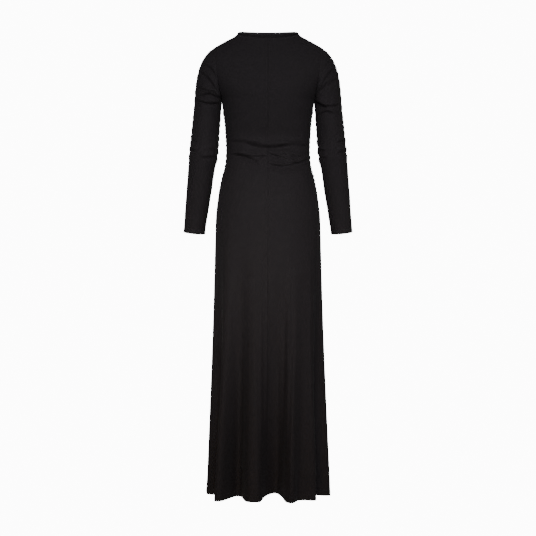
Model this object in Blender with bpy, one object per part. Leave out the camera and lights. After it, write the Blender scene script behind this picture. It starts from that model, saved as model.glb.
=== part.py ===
"""A long-sleeved jersey maxi dress, filled out as it is worn, made of its cut pieces.

The back is cut in two with a centre seam from neck to hem. The front is one piece, gathered into both
side seams between underarm and hip. The sleeves are set in, and gathered along their front from
shoulder to elbow. A narrow facing finishes the boat neck inside.

Metres, +Z up. The front faces -Y and the wearer's left is +X. The origin lies midway between the two
points where the shoulder seams meet the neckline, which is where the wearer carries the dress.
Turns are degrees round the body from the centre back, through the wearer's left side.
"""

import math

import bpy
import numpy as np

# --- cloth and seams
CLOTH = 0.0016  # wall of the cloth
FACING = 0.0010  # wall of the neck facing
SEAM_GAP = 0.0003  # between neighbouring pieces

# --- heights of the main lines
NECK_SIDE_Z = -0.003  # where the neckline meets the shoulder seam
NECK_BACK_Z = -0.0244  # lowest point of the back neckline
NECK_FRONT_Z = 0.0116  # the front neck edge stands a little above the shoulders
SHOULDER_TIP_Z = -0.0525  # top of the armhole
ARMPIT_Z = -0.222  # foot of the armhole
HEM_Z = -1.502
FACING_DEPTH = 0.0080
FACING_SET_BACK = 0.0004  # its upper edge lies this far below the neck edge

ARMHOLE_BACK = 0.060  # how far the armhole reaches behind the shoulder line
ARMHOLE_FRONT = 0.058
ARMHOLE_STEPS = 8  # rows that end on each half of the armhole


def table(names, rows):
    """The rows as one array for each named column."""
    return dict(zip(names.split(), np.array(rows, float).T))


# Body without its folds: half width, depth behind and before the side seams, and squareness.
# Between shoulder tip and armpit the half width is that of the form which the armholes cut.
SECTION_NAMES = ("half_width", "back", "front", "square")
SECTIONS = table(
    "z half_width back front square",
    [
        (-1.530, 0.2020, 0.105, 0.115, 2.1),
        (-1.484, 0.2004, 0.105, 0.115, 2.1),
        (-1.191, 0.1888, 0.108, 0.112, 2.1),
        (-0.866, 0.1765, 0.115, 0.110, 2.2),
        (-0.673, 0.1706, 0.120, 0.109, 2.3),
        (-0.595, 0.1680, 0.122, 0.110, 2.3),
        (-0.543, 0.1622, 0.117, 0.110, 2.3),
        (-0.504, 0.1560, 0.108, 0.108, 2.3),
        (-0.465, 0.1478, 0.096, 0.104, 2.3),
        (-0.439, 0.1405, 0.087, 0.100, 2.3),
        (-0.413, 0.1363, 0.080, 0.096, 2.3),
        (-0.378, 0.1348, 0.076, 0.092, 2.3),
        (-0.348, 0.1360, 0.079, 0.094, 2.3),
        (-0.296, 0.1398, 0.090, 0.105, 2.3),
        (-0.244, 0.1463, 0.099, 0.118, 2.3),
        (-0.222, 0.1495, 0.101, 0.121, 2.25),
        (-0.200, 0.1636, 0.102, 0.121, 2.2),
        (-0.165, 0.1853, 0.099, 0.115, 2.2),
        (-0.120, 0.2055, 0.090, 0.101, 2.2),
        (-0.085, 0.2020, 0.080, 0.084, 2.2),
        (-0.0525, 0.1800, 0.067, 0.066, 2.2),
        (-0.030, 0.1437, 0.058, 0.058, 2.2),
        (-0.003, 0.1000, 0.047, 0.050, 2.15),
        (0.005, 0.0975, 0.045, 0.047, 2.15),
        (0.012, 0.0940, 0.042, 0.045, 2.15),
        (0.030, 0.0800, 0.034, 0.040, 2.1),
    ],
)

# Crests and valleys of the skirt's flutes in turn order: the turn at the hip and at the hem, half the
# turn over which each runs level, how far the cloth stands out from the section at the hem, how far the
# hem is lifted there, and the height at which the flute begins.
FLUTES = table(
    "hip hem level out lift start",
    [
        (5, 3, 0, -0.026, 0.011, -0.90),
        (13, 12, 5, 0.019, 0.000, -0.68),
        (29, 33, 3, -0.060, 0.005, -0.62),
        (44.5, 46, 3, 0.036, 0.000, -0.60),
        (62, 62, 4, -0.050, 0.004, -0.60),
        (93, 94, 0, -0.001, 0.005, -0.70),
        (103, 104, 0, -0.010, 0.004, -0.75),
        (114, 117, 3, 0.022, 0.003, -0.70),
        (131, 133, 3, -0.034, 0.006, -0.70),
        (147, 148, 3, 0.032, 0.000, -0.66),
        (163, 163, 3, -0.044, 0.008, -0.78),
        (179, 179, 3, 0.034, 0.000, -0.70),
        (195, 195, 3, -0.036, 0.006, -0.74),
        (211, 211, 3, 0.034, 0.000, -0.64),
        (227, 227, 3, -0.036, 0.006, -0.70),
        (243, 243, 3, 0.020, 0.000, -0.66),
        (257, 257, 0, -0.010, 0.002, -0.70),
        (267, 267, 0, 0.002, 0.000, -0.68),
        (295, 302, 5, -0.055, 0.004, -0.66),
        (308, 315.5, 2.5, 0.015, 0.000, -0.62),
        (315, 325, 0, 0.004, 0.001, -0.62),
        (320, 332, 0, 0.000, 0.001, -0.62),
        (333, 342, 2.5, 0.041, 0.000, -0.70),
        (341, 347, 0, -0.040, 0.010, -0.72),
        (350, 353, 0, -0.056, 0.016, -0.80),
    ],
)
FLUTE_GROWTH = 1.15  # how the flutes deepen from their start to the hem
HEM_LIFT_REACH = 0.30  # height over which that rise fades
WIDE_FLUTE = 14.0  # flutes further apart than this get one more column between

# Soft troughs pressed into the back at the waist: from and to, the bow of the line, depth, half height.
WAIST_TROUGHS = table(
    "x_from z_from x_to z_to bow depth reach",
    [
        (0.116, -0.347, -0.045, -0.367, 0.001, 0.0055, 0.008),
        (0.012, -0.368, -0.126, -0.364, 0.007, 0.0055, 0.008),
        (0.114, -0.394, 0.012, -0.424, 0.007, 0.0045, 0.007),
        (-0.010, -0.420, -0.132, -0.400, -0.014, 0.0050, 0.008),
        (-0.004, -0.387, -0.092, -0.411, 0.001, 0.0028, 0.007),
    ],
)

# Bust of a general figure: turn from the centre front, height, fullness and its spread
BUST_TURN = 38.0
BUST_Z = -0.195
BUST_FULLNESS = 0.010
BUST_SPREAD_TURN = 24.0
BUST_SPREAD_Z = 0.055

# Gathers of the front into its two side seams: height of each ridge at either seam, how far it stands
# out there, and the turn over which it fades towards the centre front.
GATHERS = table(
    "z_left z_right out_left out_right reach",
    [
        (-0.263, -0.260, 0.0024, 0.0022, 34),
        (-0.276, -0.273, 0.0012, 0.0012, 22),
        (-0.287, -0.285, 0.0014, 0.0016, 30),
        (-0.300, -0.298, 0.0012, 0.0012, 40),
        (-0.312, -0.312, 0.0012, 0.0010, 26),
        (-0.323, -0.326, 0.0022, 0.0012, 44),
        (-0.338, -0.340, 0.0016, 0.0012, 30),
        (-0.351, -0.354, 0.0010, 0.0012, 24),
        (-0.364, -0.370, 0.0016, 0.0014, 38),
        (-0.380, -0.387, 0.0010, 0.0014, 28),
        (-0.397, -0.403, 0.0016, 0.0024, 46),
        (-0.415, -0.420, 0.0014, 0.0014, 30),
        (-0.431, -0.436, 0.0024, 0.0014, 36),
        (-0.443, -0.450, 0.0014, 0.0016, 24),
        (-0.457, -0.462, 0.0016, 0.0030, 40),
        (-0.470, -0.477, 0.0014, 0.0024, 30),
        (-0.484, -0.490, 0.0016, 0.0012, 34),
        (-0.499, -0.503, 0.0016, 0.0016, 26),
        (-0.511, -0.515, 0.0014, 0.0014, 22),
    ],
)
GATHER_RISE = 1.25  # all gathers stand out this many times what is named above
GATHER_BEHIND = 7.0  # turn over which the gathers fade into the back
GATHER_SAG = 0.018  # the gathers hang this much lower at the centre front
SAG_END_Z = -0.86

# Sleeve axis of the left arm and its half sizes across (towards the side) and deep (front to back)
SLEEVE = table(
    "z x y across deep",
    [
        (-0.660, 0.2424, -0.029, 0.0343, 0.0280),
        (-0.648, 0.2412, -0.027, 0.0343, 0.0280),
        (-0.580, 0.2330, -0.018, 0.0370, 0.0320),
        (-0.504, 0.2237, -0.008, 0.0403, 0.0370),
        (-0.426, 0.2143, 0.001, 0.0430, 0.0415),
        (-0.405, 0.2110, 0.003, 0.0449, 0.0430),
        (-0.374, 0.2072, 0.004, 0.0456, 0.0445),
        (-0.310, 0.2020, 0.003, 0.0447, 0.0475),
        (-0.250, 0.1966, 0.000, 0.0438, 0.0500),
        (-0.240, 0.1957, 0.000, 0.0437, 0.0502),
    ],
)
SQUARE_Z = -0.250  # first sleeve ring that is square to the arm
CUFF_Z = -0.648
CAP_PULL = 0.19  # length of the tangents that round the shoulder
CAP_FULLNESS = 1.11  # how much longer they are where the cap leaves the shoulder
CAP_PULL_LOW = 0.030  # and of those under the arm
CAP_FOLLOW = 0.6  # share by which the cap leaves in line with the body
SHOULDER_FALL = math.radians(29.0)

# Gathers of the sleeves: height of each ridge at the outer edge of the arm, how far it stands out
SLEEVE_GATHERS = table(
    "z_left z_right out_left out_right",
    [
        (-0.091, -0.089, 0.0010, 0.0010),
        (-0.113, -0.107, 0.0016, 0.0012),
        (-0.137, -0.128, 0.0012, 0.0016),
        (-0.162, -0.154, 0.0012, 0.0012),
        (-0.187, -0.182, 0.0020, 0.0012),
        (-0.214, -0.208, 0.0014, 0.0014),
        (-0.242, -0.236, 0.0014, 0.0020),
        (-0.268, -0.268, 0.0014, 0.0014),
        (-0.288, -0.285, 0.0014, 0.0014),
        (-0.309, -0.302, 0.0016, 0.0014),
        (-0.334, -0.321, 0.0022, 0.0016),
        (-0.352, -0.343, 0.0016, 0.0026),
        (-0.375, -0.374, 0.0030, 0.0034),
        (-0.393, -0.396, 0.0026, 0.0026),
    ],
)

SHOULDER_ROWS = 3
SKIRT_ROWS = (-0.540, -0.575, -0.620, -0.680, -0.760, -0.860, -1.000, -1.160, -1.330, HEM_Z)
CAP_ROWS = (-0.0605, -0.0730)
FOREARM_ROWS = (-0.430, -0.465, -0.505, -0.548, -0.592, -0.628, CUFF_Z)

BLACK_JERSEY = (0.012, 0.011, 0.012, 1.0)


# --- curves


def smooth(x, xs, ys):
    """A curve through the points (xs, ys), xs rising, that never swings past them."""
    width = np.diff(xs)
    slope = np.diff(ys) / width
    tangent = np.zeros(len(xs))
    tangent[0], tangent[-1] = slope[0], slope[-1]
    for i in range(1, len(xs) - 1):
        if slope[i - 1] * slope[i] > 0:
            before, after = 2 * width[i] + width[i - 1], width[i] + 2 * width[i - 1]
            tangent[i] = (before + after) / (before / slope[i - 1] + after / slope[i])
    i = int(np.clip(np.searchsorted(xs, x) - 1, 0, len(width) - 1))
    t = min(max((x - xs[i]) / width[i], 0.0), 1.0)
    return (
        (1 + 2 * t) * (1 - t) ** 2 * ys[i]
        + t * (1 - t) ** 2 * width[i] * tangent[i]
        + t * t * (3 - 2 * t) * ys[i + 1]
        - t * t * (1 - t) * width[i] * tangent[i + 1]
    )


def share(value, start, end):
    """How far value lies from start (0) to end (1), held between them."""
    return min(max((value - start) / (end - start), 0.0), 1.0)


def bell(distance, reach):
    return math.exp(-((distance / reach) ** 2))


def unit(v):
    return v / np.linalg.norm(v)


# --- the body


def section(z):
    """Half width, depth behind, depth before and squareness at a height."""
    return [smooth(z, SECTIONS["z"], SECTIONS[name]) for name in SECTION_NAMES]


def ring(turn, z):
    """The point of the plain body at a turn and height, and the way out from it in the level plane."""
    half_width, back, front, square = section(z)
    across, behind = math.sin(math.radians(turn)), math.cos(math.radians(turn))
    depth = back if behind > 0 else front
    size = (abs(across) ** square + abs(behind) ** square) ** (1 / square)
    x, y = across / size, behind / size
    out_x = math.copysign(abs(x) ** (square - 1), x) / half_width
    out_y = math.copysign(abs(y) ** (square - 1), y) / depth
    return np.array([half_width * x, depth * y, z]), unit(np.array([out_x, out_y, 0.0]))


def flute_lines(z):
    """Turns at a height of the lines that bound the crests and valleys, and the flute each belongs to."""
    down = share(z, FLUTES["start"].max(), HEM_Z)
    turns, flutes = [], []
    for i, (hip, hem, level) in enumerate(zip(FLUTES["hip"], FLUTES["hem"], FLUTES["level"])):
        middle = hip + (hem - hip) * down
        for turn in (middle - level, middle + level) if level else (middle,):
            turns.append(turn)
            flutes.append(i)
    return np.array(turns), np.array(flutes)


def flute(turn, z):
    """How far the skirt's flutes push the cloth out, and how far they lift the hem there."""
    turns, flutes = flute_lines(z)
    outs = FLUTES["out"] * np.array([share(z, start, HEM_Z) ** FLUTE_GROWTH for start in FLUTES["start"]])
    lifts = FLUTES["lift"] * share(z, HEM_Z + HEM_LIFT_REACH, HEM_Z) ** 2
    wrapped = np.concatenate([turns[-3:] - 360, turns, turns[:3] + 360])
    return [
        smooth(turn % 360, wrapped, np.concatenate([sizes[flutes][-3:], sizes[flutes], sizes[flutes][:3]]))
        for sizes in (outs, lifts)
    ]


def waist_trough(x, z):
    """How deep the troughs at the back of the waist are at a place."""
    depth = 0.0
    t = WAIST_TROUGHS
    for i in range(len(t["depth"])):
        along = (x - t["x_from"][i]) / (t["x_to"][i] - t["x_from"][i])
        if 0 < along < 1:
            line = t["z_from"][i] + (t["z_to"][i] - t["z_from"][i]) * along
            line += 4 * t["bow"][i] * along * (1 - along)
            depth += t["depth"][i] * math.sin(math.pi * along) ** 0.7 * bell(z - line, t["reach"][i])
    return depth


def bust(turn, z):
    """Fullness of the front at the bust."""
    from_centre = abs(turn % 360 - 180)
    side = bell(from_centre - BUST_TURN, BUST_SPREAD_TURN) * share(from_centre, 90, 60)
    return BUST_FULLNESS * side * bell(z - BUST_Z, BUST_SPREAD_Z)


def body(turn, z, gather=0.0):
    """The outer face of the cloth on the body."""
    point, out = ring(turn, z)
    pushed, lift = flute(turn, z)
    pushed += gather + bust(turn, z)
    if point[1] > 0:
        pushed -= waist_trough(point[0], z)
    point = point + out * pushed
    point[2] += lift
    return point


# --- the armholes and the sleeves


def armhole_place(angle):
    """Turn and height of the left armhole: angle 0 is the shoulder tip, 90 behind, 180 the armpit."""
    turned = math.radians(angle)
    middle, half = (SHOULDER_TIP_Z + ARMPIT_Z) / 2, (SHOULDER_TIP_Z - ARMPIT_Z) / 2
    z = middle + half * math.cos(turned)
    half_width, back, front, square = section(z)
    y = ARMHOLE_BACK * math.sin(turned) / back if angle < 180 else ARMHOLE_FRONT * math.sin(turned) / front
    x = (1 - abs(y) ** square) ** (1 / square)
    return math.degrees(math.atan2(x, y)), z


def armhole(angle):
    """The seam between the body and the left sleeve."""
    return body(*armhole_place(angle % 360))


def armhole_side(angle):
    """The way across the armhole seam, from the body to the left sleeve, and the way out of the seam."""
    turned = math.radians(angle)
    c, s = math.cos(turned), math.sin(turned)
    top = np.array([math.sin(SHOULDER_FALL), 0.0, math.cos(SHOULDER_FALL)])
    sideways = np.array([0.45 * abs(s), 0.9 * s, 0.0])
    out = unit(max(c, 0) * top + max(-c, 0) * np.array([0.0, 0.0, -1.0]) + sideways)
    along = unit(armhole(angle + 4) - armhole(angle - 4))
    return unit(np.cross(along, out)), out


def sleeve_ring(angle, z):
    """The plain left sleeve round its axis, with the way out and the way down the arm."""
    at = {name: smooth(z, SLEEVE["z"], SLEEVE[name]) for name in SLEEVE}
    step = 0.004
    ahead = np.array([smooth(z - step, SLEEVE["z"], SLEEVE[name]) for name in ("x", "y")])
    behind = np.array([smooth(z + step, SLEEVE["z"], SLEEVE[name]) for name in ("x", "y")])
    down = unit(np.append(ahead - behind, -2 * step))
    deep = unit(np.cross(np.array([1.0, 0.0, 0.0]), down))
    across = unit(np.cross(down, deep))
    c, s = math.cos(math.radians(angle)), math.sin(math.radians(angle))
    point = np.array([at["x"], at["y"], z]) + across * at["across"] * c + deep * at["deep"] * s
    return point, unit(across * c / at["across"] + deep * s / at["deep"]), down


def cap(angle, along):
    """The sleeve between the armhole (along 0) and its first square ring (along 1)."""
    start = armhole(angle)
    end, end_out, down = sleeve_ring(angle, SQUARE_Z)
    _, seam_out = armhole_side(angle)
    top = (1 + math.cos(math.radians(angle))) / 2
    pull = CAP_PULL_LOW + (CAP_PULL - CAP_PULL_LOW) * top**0.8
    fall = np.array([math.cos(SHOULDER_FALL), 0.0, -math.sin(SHOULDER_FALL)])
    leave = unit(fall * top + np.array([0.05, 0.0, -1.0]) * (1 - top))
    turn, z = armhole_place(angle % 360)
    round_body = body(turn + 2, z) - body(turn - 2, z)
    down_body = body(turn, z - 0.004) - body(turn, z + 0.004)
    flat = unit(np.cross(round_body, down_body))
    leave = unit(leave - CAP_FOLLOW * top * np.dot(leave, flat) * flat)
    t = along
    point = (
        (1 + 2 * t) * (1 - t) ** 2 * start
        + t * (1 - t) ** 2 * leave * pull * CAP_FULLNESS
        + t * t * (3 - 2 * t) * end
        - t * t * (1 - t) * down * pull
    )
    return point, unit(seam_out * (1 - t) + end_out * t)


def cap_share(z):
    """The share of the cap's outer edge at which it has come down to a height."""
    low, high = 0.0, 1.0
    for _ in range(30):
        middle = (low + high) / 2
        if cap(0.0, middle)[0][2] > z:
            low = middle
        else:
            high = middle
    return low


# --- rows and columns of the pieces


def ridges(crests, heights, above, below):
    """Heights of the valleys and crests of gathers in order, and how far each stands out."""
    edges = np.concatenate([[above], crests, [below]])
    zs, outs = [], []
    for i in range(len(crests)):
        zs += [(edges[i] + edges[i + 1]) / 2 if i else above, crests[i]]
        outs += [-0.35 * (heights[i] + heights[i - 1]) / 2 if i else 0.0, 0.65 * heights[i]]
    return zs + [below], outs + [0.0]


def body_rows():
    """Rows of the body pieces from neck to hem: heights at the left and right edge, at the centre back and
    centre front, the angle at which the row meets the armholes, and how far its gather stands out."""
    rows = []
    steps = SHOULDER_ROWS + ARMHOLE_STEPS
    for i in range(steps + 1):
        t = i / steps
        back = NECK_BACK_Z + (ARMPIT_Z - NECK_BACK_Z) * t
        front = NECK_FRONT_Z + (ARMPIT_Z - 0.8 * GATHER_SAG - NECK_FRONT_Z) * t
        if i < SHOULDER_ROWS:
            side, angle = NECK_SIDE_Z + (SHOULDER_TIP_Z - NECK_SIDE_Z) * i / SHOULDER_ROWS, None
        else:
            angle = 180 * (i - SHOULDER_ROWS) / ARMHOLE_STEPS
            side = armhole_place(angle)[1]
        rows.append((side, side, back, front, angle, 0.0, 0.0, 30.0))
    zs_left, outs_left = ridges(GATHERS["z_left"], GATHERS["out_left"], -0.250, -0.521)
    zs_right, outs_right = ridges(GATHERS["z_right"], GATHERS["out_right"], -0.248, -0.524)
    reaches = np.repeat(GATHERS["reach"], 2)
    gathers = [(z_l, z_r, o_l, o_r) for z_l, z_r, o_l, o_r in zip(zs_left, zs_right, outs_left, outs_right)]
    plain = [(-0.2355, -0.2350, 0.0, 0.0)]
    skirt = [(z, z, 0.0, 0.0) for z in SKIRT_ROWS]
    for i, (z_left, z_right, out_left, out_right) in enumerate(plain + gathers + skirt):
        middle = (z_left + z_right) / 2
        sag = GATHER_SAG * share(middle, SAG_END_Z, -0.50) * share(middle, -0.15, -0.25)
        reach = reaches[min(max(i - 1, 0), len(reaches) - 1)]
        rows.append((z_left, z_right, middle, middle - sag, None, out_left, out_right, reach))
    return rows


def columns(first, last, z):
    """Turns of a piece's columns at a height: its edges, the flutes' crests and valleys, and between."""
    hips, _ = flute_lines(0.0)
    inside = (hips > first) & (hips < last)
    edges = [first] + list(flute_lines(z)[0][inside]) + [last]
    hips = [first] + list(hips[inside]) + [last]
    result = [edges[0]]
    for i in range(1, len(edges)):
        if hips[i] - hips[i - 1] > WIDE_FLUTE:
            result.append((edges[i] + edges[i - 1]) / 2)
        result.append(edges[i])
    return result


def panel(first, last, rows):
    """The outer face of a body piece as a grid of points, one row for each height."""
    grid = []
    for index, (z_left, z_right, z_back, z_front, angle, out_left, out_right, reach) in enumerate(rows):
        line = []
        for turn in columns(first, last, z_left):
            mirrored = turn > 180
            from_back = 360 - turn if mirrored else turn
            side, out = (z_right, out_right) if mirrored else (z_left, out_left)
            in_front = first == 90
            beyond = 180 - from_back if in_front else from_back
            to_side = math.sin(math.radians(beyond)) ** 2
            if in_front:
                at_neck = math.exp(-(90 - beyond) / 14)
                to_side += (at_neck - to_side) * share(index, SHOULDER_ROWS + 2, 0)
            centre = z_front if in_front else z_back
            z = centre + (side - centre) * to_side
            if angle is not None:
                limit = armhole_place((360 - angle) if in_front and angle < 180 else angle)[0]
                beyond *= (180 - limit if in_front else limit) / 90
            from_back = 180 - beyond if in_front else beyond
            fade = bell(90 - beyond, reach if in_front else GATHER_BEHIND)
            line.append(body(360 - from_back if mirrored else from_back, z, GATHER_RISE * out * fade))
        grid.append(line)
    grid = np.array(grid)
    down = grid[1] - grid[0]
    foot = grid[0] + down / np.linalg.norm(down, axis=1, keepdims=True) * FACING_DEPTH
    return np.insert(grid, 1, foot, axis=0)


def sleeve(z_crests, outs):
    """The outer face of a left sleeve as rings from armhole to cuff, the front ring last."""
    zs, outs = ridges(z_crests, outs, -0.080, -0.412)
    zs = list(CAP_ROWS) + zs + list(FOREARM_ROWS)
    outs = [0.0] * len(CAP_ROWS) + outs + [0.0] * len(FOREARM_ROWS)
    angles = [180 * i / ARMHOLE_STEPS for i in range(2 * ARMHOLE_STEPS)]
    grid = [[armhole(angle) for angle in angles]]
    for z, ridge in zip(zs, outs):
        line = []
        along = cap_share(z) if z > SQUARE_Z else 1.0
        for angle in angles:
            strength = 0.2 + 0.8 * ((1 - math.sin(math.radians(angle))) / 2) ** 0.6
            if z > SQUARE_Z:
                point, out = cap(angle, along)
                strength *= ((1 + math.cos(math.radians(angle))) / 2) ** 0.8
            else:
                point, out, _ = sleeve_ring(angle, z)
            line.append(point + out * ridge * strength * GATHER_RISE)
        grid.append(line)
    return np.array(grid)


# --- making walls


def thicken(grids, thickness):
    """For grids that meet, the way from the outer to the inner face at every point, so that the wall keeps
    its thickness over the folds and neighbours share one direction at their seam."""
    sides = {}
    for grid in grids:
        a, b, d, e = grid[:-1, :-1], grid[:-1, 1:], grid[1:, 1:], grid[1:, :-1]
        out = np.cross(d - a, e - b)
        out /= np.linalg.norm(out, axis=2, keepdims=True)
        for corner in (a, b, d, e):
            for point, way in zip(corner.reshape(-1, 3), out.reshape(-1, 3)):
                sides.setdefault(tuple(np.round(point, 7)), []).append(way)
    result = []
    for grid in grids:
        moved = np.empty_like(grid)
        for index in np.ndindex(*grid.shape[:2]):
            ways = sides[tuple(np.round(grid[index], 7))]
            mean = unit(np.sum(ways, axis=0))
            lean = max(np.mean([np.dot(mean, way) for way in ways]), 0.5)
            moved[index] = -mean * thickness / lean
        result.append(moved)
    return result


def draw_in(grid, inward, at, beside):
    """Moves an edge column of a grid back from its seam."""
    way = grid[:, beside] - grid[:, at]
    way -= inward[:, at] * (np.sum(way * inward[:, at], axis=1) / np.sum(inward[:, at] ** 2, axis=1))[:, None]
    grid[:, at] += way / np.linalg.norm(way, axis=1, keepdims=True) * SEAM_GAP / 2


def wall(name, outer, inward, material, round_it=False):
    """A cloth wall inside a grid of outer points, closed at its edges. Columns run to the left seen from
    outside."""
    rows, count = outer.shape[:2]
    points = np.concatenate([outer.reshape(-1, 3), (outer + inward).reshape(-1, 3)])
    below = rows * count
    faces = []
    last = count if round_it else count - 1
    for r in range(rows - 1):
        for c in range(last):
            n = (c + 1) % count
            a, b, d, e = r * count + c, r * count + n, (r + 1) * count + n, (r + 1) * count + c
            faces.append((a, b, d, e))
            faces.append((below + a, below + e, below + d, below + b))
    for c in range(last):
        n = (c + 1) % count
        foot = (rows - 1) * count
        faces.append((n, c, below + c, below + n))
        faces.append((foot + c, foot + n, below + foot + n, below + foot + c))
    if not round_it:
        for r in range(rows - 1):
            a, e = r * count, (r + 1) * count
            faces.append((a, e, below + e, below + a))
            faces.append((e + count - 1, a + count - 1, below + a + count - 1, below + e + count - 1))
    mesh = bpy.data.meshes.new(name)
    mesh.from_pydata([tuple(p) for p in points], [], faces)
    mesh.update()
    mesh.shade_smooth()
    mesh.set_sharp_from_angle(angle=math.radians(50))
    mesh.materials.append(material)
    piece = bpy.data.objects.new(name, mesh)
    bpy.context.scene.collection.objects.link(piece)
    return piece


def jersey(name):
    material = bpy.data.materials.new(name)
    material.use_nodes = True
    shader = material.node_tree.nodes["Principled BSDF"]
    shader.inputs["Base Color"].default_value = BLACK_JERSEY
    shader.inputs["Roughness"].default_value = 0.85
    shader.inputs["Metallic"].default_value = 0.0
    return material


def open_armhole(grid, inward, column, in_front, mirror):
    """Sets an edge of a body piece along the armhole back from the sleeve and clear of its wall."""
    for step in range(ARMHOLE_STEPS + 1):
        angle = 180 * step / ARMHOLE_STEPS
        side, _ = armhole_side(-angle if in_front else angle)
        side = side * np.array([mirror, 1, 1])
        row = SHOULDER_ROWS + 1 + step
        towards = max(np.dot(inward[row, column], side), 0.0)
        inward[row, column] -= side * towards
        grid[row, column] -= side * SEAM_GAP / 2


def make_body():
    rows = body_rows()
    pieces = {"back_left": (0, 90), "front": (90, 270), "back_right": (270, 360)}
    grids = {name: panel(*ends, rows) for name, ends in pieces.items()}
    inwards = dict(zip(grids, thicken(list(grids.values()), CLOTH)))
    neck = {name: (grids[name][:2].copy(), inwards[name][:2].copy()) for name in grids}
    for name, (first, last) in pieces.items():
        grid, inward = grids[name], inwards[name]
        draw_in(grid, inward, 0, 1)
        draw_in(grid, inward, -1, -2)
        if first == 90 or last == 90:
            open_armhole(grid, inward, 0 if first == 90 else -1, first == 90, 1)
        if first == 270 or last == 270:
            open_armhole(grid, inward, -1 if last == 270 else 0, last == 270, -1)
        wall(name, grid, inward, jersey(name))
    return neck


def make_facing(neck):
    """A strip just inside the neckline, parallel to the pieces it lies on."""
    outer, inner = [], []
    for name in ("back_left", "front", "back_right"):
        grid, inward = neck[name]
        for c in range(grid.shape[1] - 1):
            here, under = grid[0, c] + inward[0, c], grid[1, c] + inward[1, c]
            step = (under - here) * FACING_SET_BACK / FACING_DEPTH
            clear = [inward[0, c] / CLOTH, inward[1, c] / CLOTH]
            outer.append([here + step + clear[0] * SEAM_GAP, under + clear[1] * SEAM_GAP])
            inner.append([clear[0] * FACING, clear[1] * FACING])
    outer = np.array(outer).transpose(1, 0, 2)
    inner = np.array(inner).transpose(1, 0, 2)
    wall("neck_facing", outer, inner, jersey("neck_facing"), round_it=True)


def make_sleeve(name, z_crests, outs, mirror):
    grid = sleeve(z_crests, outs)
    grid[..., 0] *= mirror
    if mirror > 0:
        grid = grid[:, ::-1]
    closed = np.concatenate([grid, grid[:, :1]], axis=1)
    inward = thicken([closed], CLOTH)[0][:, :-1]
    for c in range(2 * ARMHOLE_STEPS):
        angle = 180 * (2 * ARMHOLE_STEPS - 1 - c if mirror > 0 else c) / ARMHOLE_STEPS
        side, _ = armhole_side(angle)
        side = side * np.array([mirror, 1, 1])
        towards = min(np.dot(inward[0, c], side), 0.0)
        inward[0, c] -= side * towards
        grid[0, c] += side * SEAM_GAP / 2
    wall(name, grid, inward, jersey(name), round_it=True)


def main():
    for thing in list(bpy.data.objects):
        bpy.data.objects.remove(thing)
    neck = make_body()
    make_facing(neck)
    make_sleeve("sleeve_left", SLEEVE_GATHERS["z_left"], SLEEVE_GATHERS["out_left"], 1)
    make_sleeve("sleeve_right", SLEEVE_GATHERS["z_right"], SLEEVE_GATHERS["out_right"], -1)


main()
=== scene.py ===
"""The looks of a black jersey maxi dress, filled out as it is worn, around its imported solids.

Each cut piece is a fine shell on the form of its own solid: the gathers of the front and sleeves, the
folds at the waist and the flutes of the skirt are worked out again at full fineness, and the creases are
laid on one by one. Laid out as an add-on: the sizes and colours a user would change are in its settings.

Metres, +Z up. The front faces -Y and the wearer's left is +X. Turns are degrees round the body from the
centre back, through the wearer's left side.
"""

import math
from functools import partial

import bpy
import numpy as np
from bpy.props import FloatProperty, FloatVectorProperty, PointerProperty
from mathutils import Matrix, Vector
from mathutils.kdtree import KDTree


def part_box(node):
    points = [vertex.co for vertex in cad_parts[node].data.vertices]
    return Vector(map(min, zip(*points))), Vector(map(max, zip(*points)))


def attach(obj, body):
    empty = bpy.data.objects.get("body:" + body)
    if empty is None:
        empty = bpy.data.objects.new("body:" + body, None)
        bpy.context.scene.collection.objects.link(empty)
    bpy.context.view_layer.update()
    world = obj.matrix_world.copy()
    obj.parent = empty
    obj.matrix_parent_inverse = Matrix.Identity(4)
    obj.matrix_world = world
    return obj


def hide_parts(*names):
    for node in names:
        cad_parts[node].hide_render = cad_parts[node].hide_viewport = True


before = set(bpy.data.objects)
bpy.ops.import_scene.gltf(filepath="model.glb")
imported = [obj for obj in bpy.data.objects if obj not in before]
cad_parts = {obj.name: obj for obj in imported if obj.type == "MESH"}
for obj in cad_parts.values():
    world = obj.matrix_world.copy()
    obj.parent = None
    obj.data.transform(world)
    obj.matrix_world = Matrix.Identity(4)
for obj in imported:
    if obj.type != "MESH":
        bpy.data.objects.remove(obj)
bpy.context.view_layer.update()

bl_info = {
    "name": "Jersey maxi dress",
    "version": (1, 0, 0),
    "blender": (4, 5, 0),
    "location": "View3D > Sidebar > Dress",
    "description": "Builds the cloth, stitching and studio of a gathered jersey maxi dress",
    "category": "Object",
}

# --- main lines of the dress, from the solids where those fix them
HEM_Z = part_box("back_left")[0][2]
NECK_FRONT_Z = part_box("front")[1][2] + 0.001
CUFF_Z = -0.648
NECK_SIDE_Z = -0.003
NECK_BACK_Z = -0.0244
SHOULDER_TIP_Z = -0.0525
ARMPIT_Z = -0.222
ARMHOLE_BACK = 0.060
ARMHOLE_FRONT = 0.058
SHOULDER_FALL = math.radians(29.0)
FACING_DEPTH = 0.0080


def table(names, *rows):
    """The rows as one array for each named column. Columns named before the bar are in millimetres."""
    lengths, others = (part.split() for part in names.split("|"))
    columns = zip(lengths + others, np.array(rows, float).T)
    return {name: column / 1000 if name in lengths else column for name, column in columns}


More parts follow.
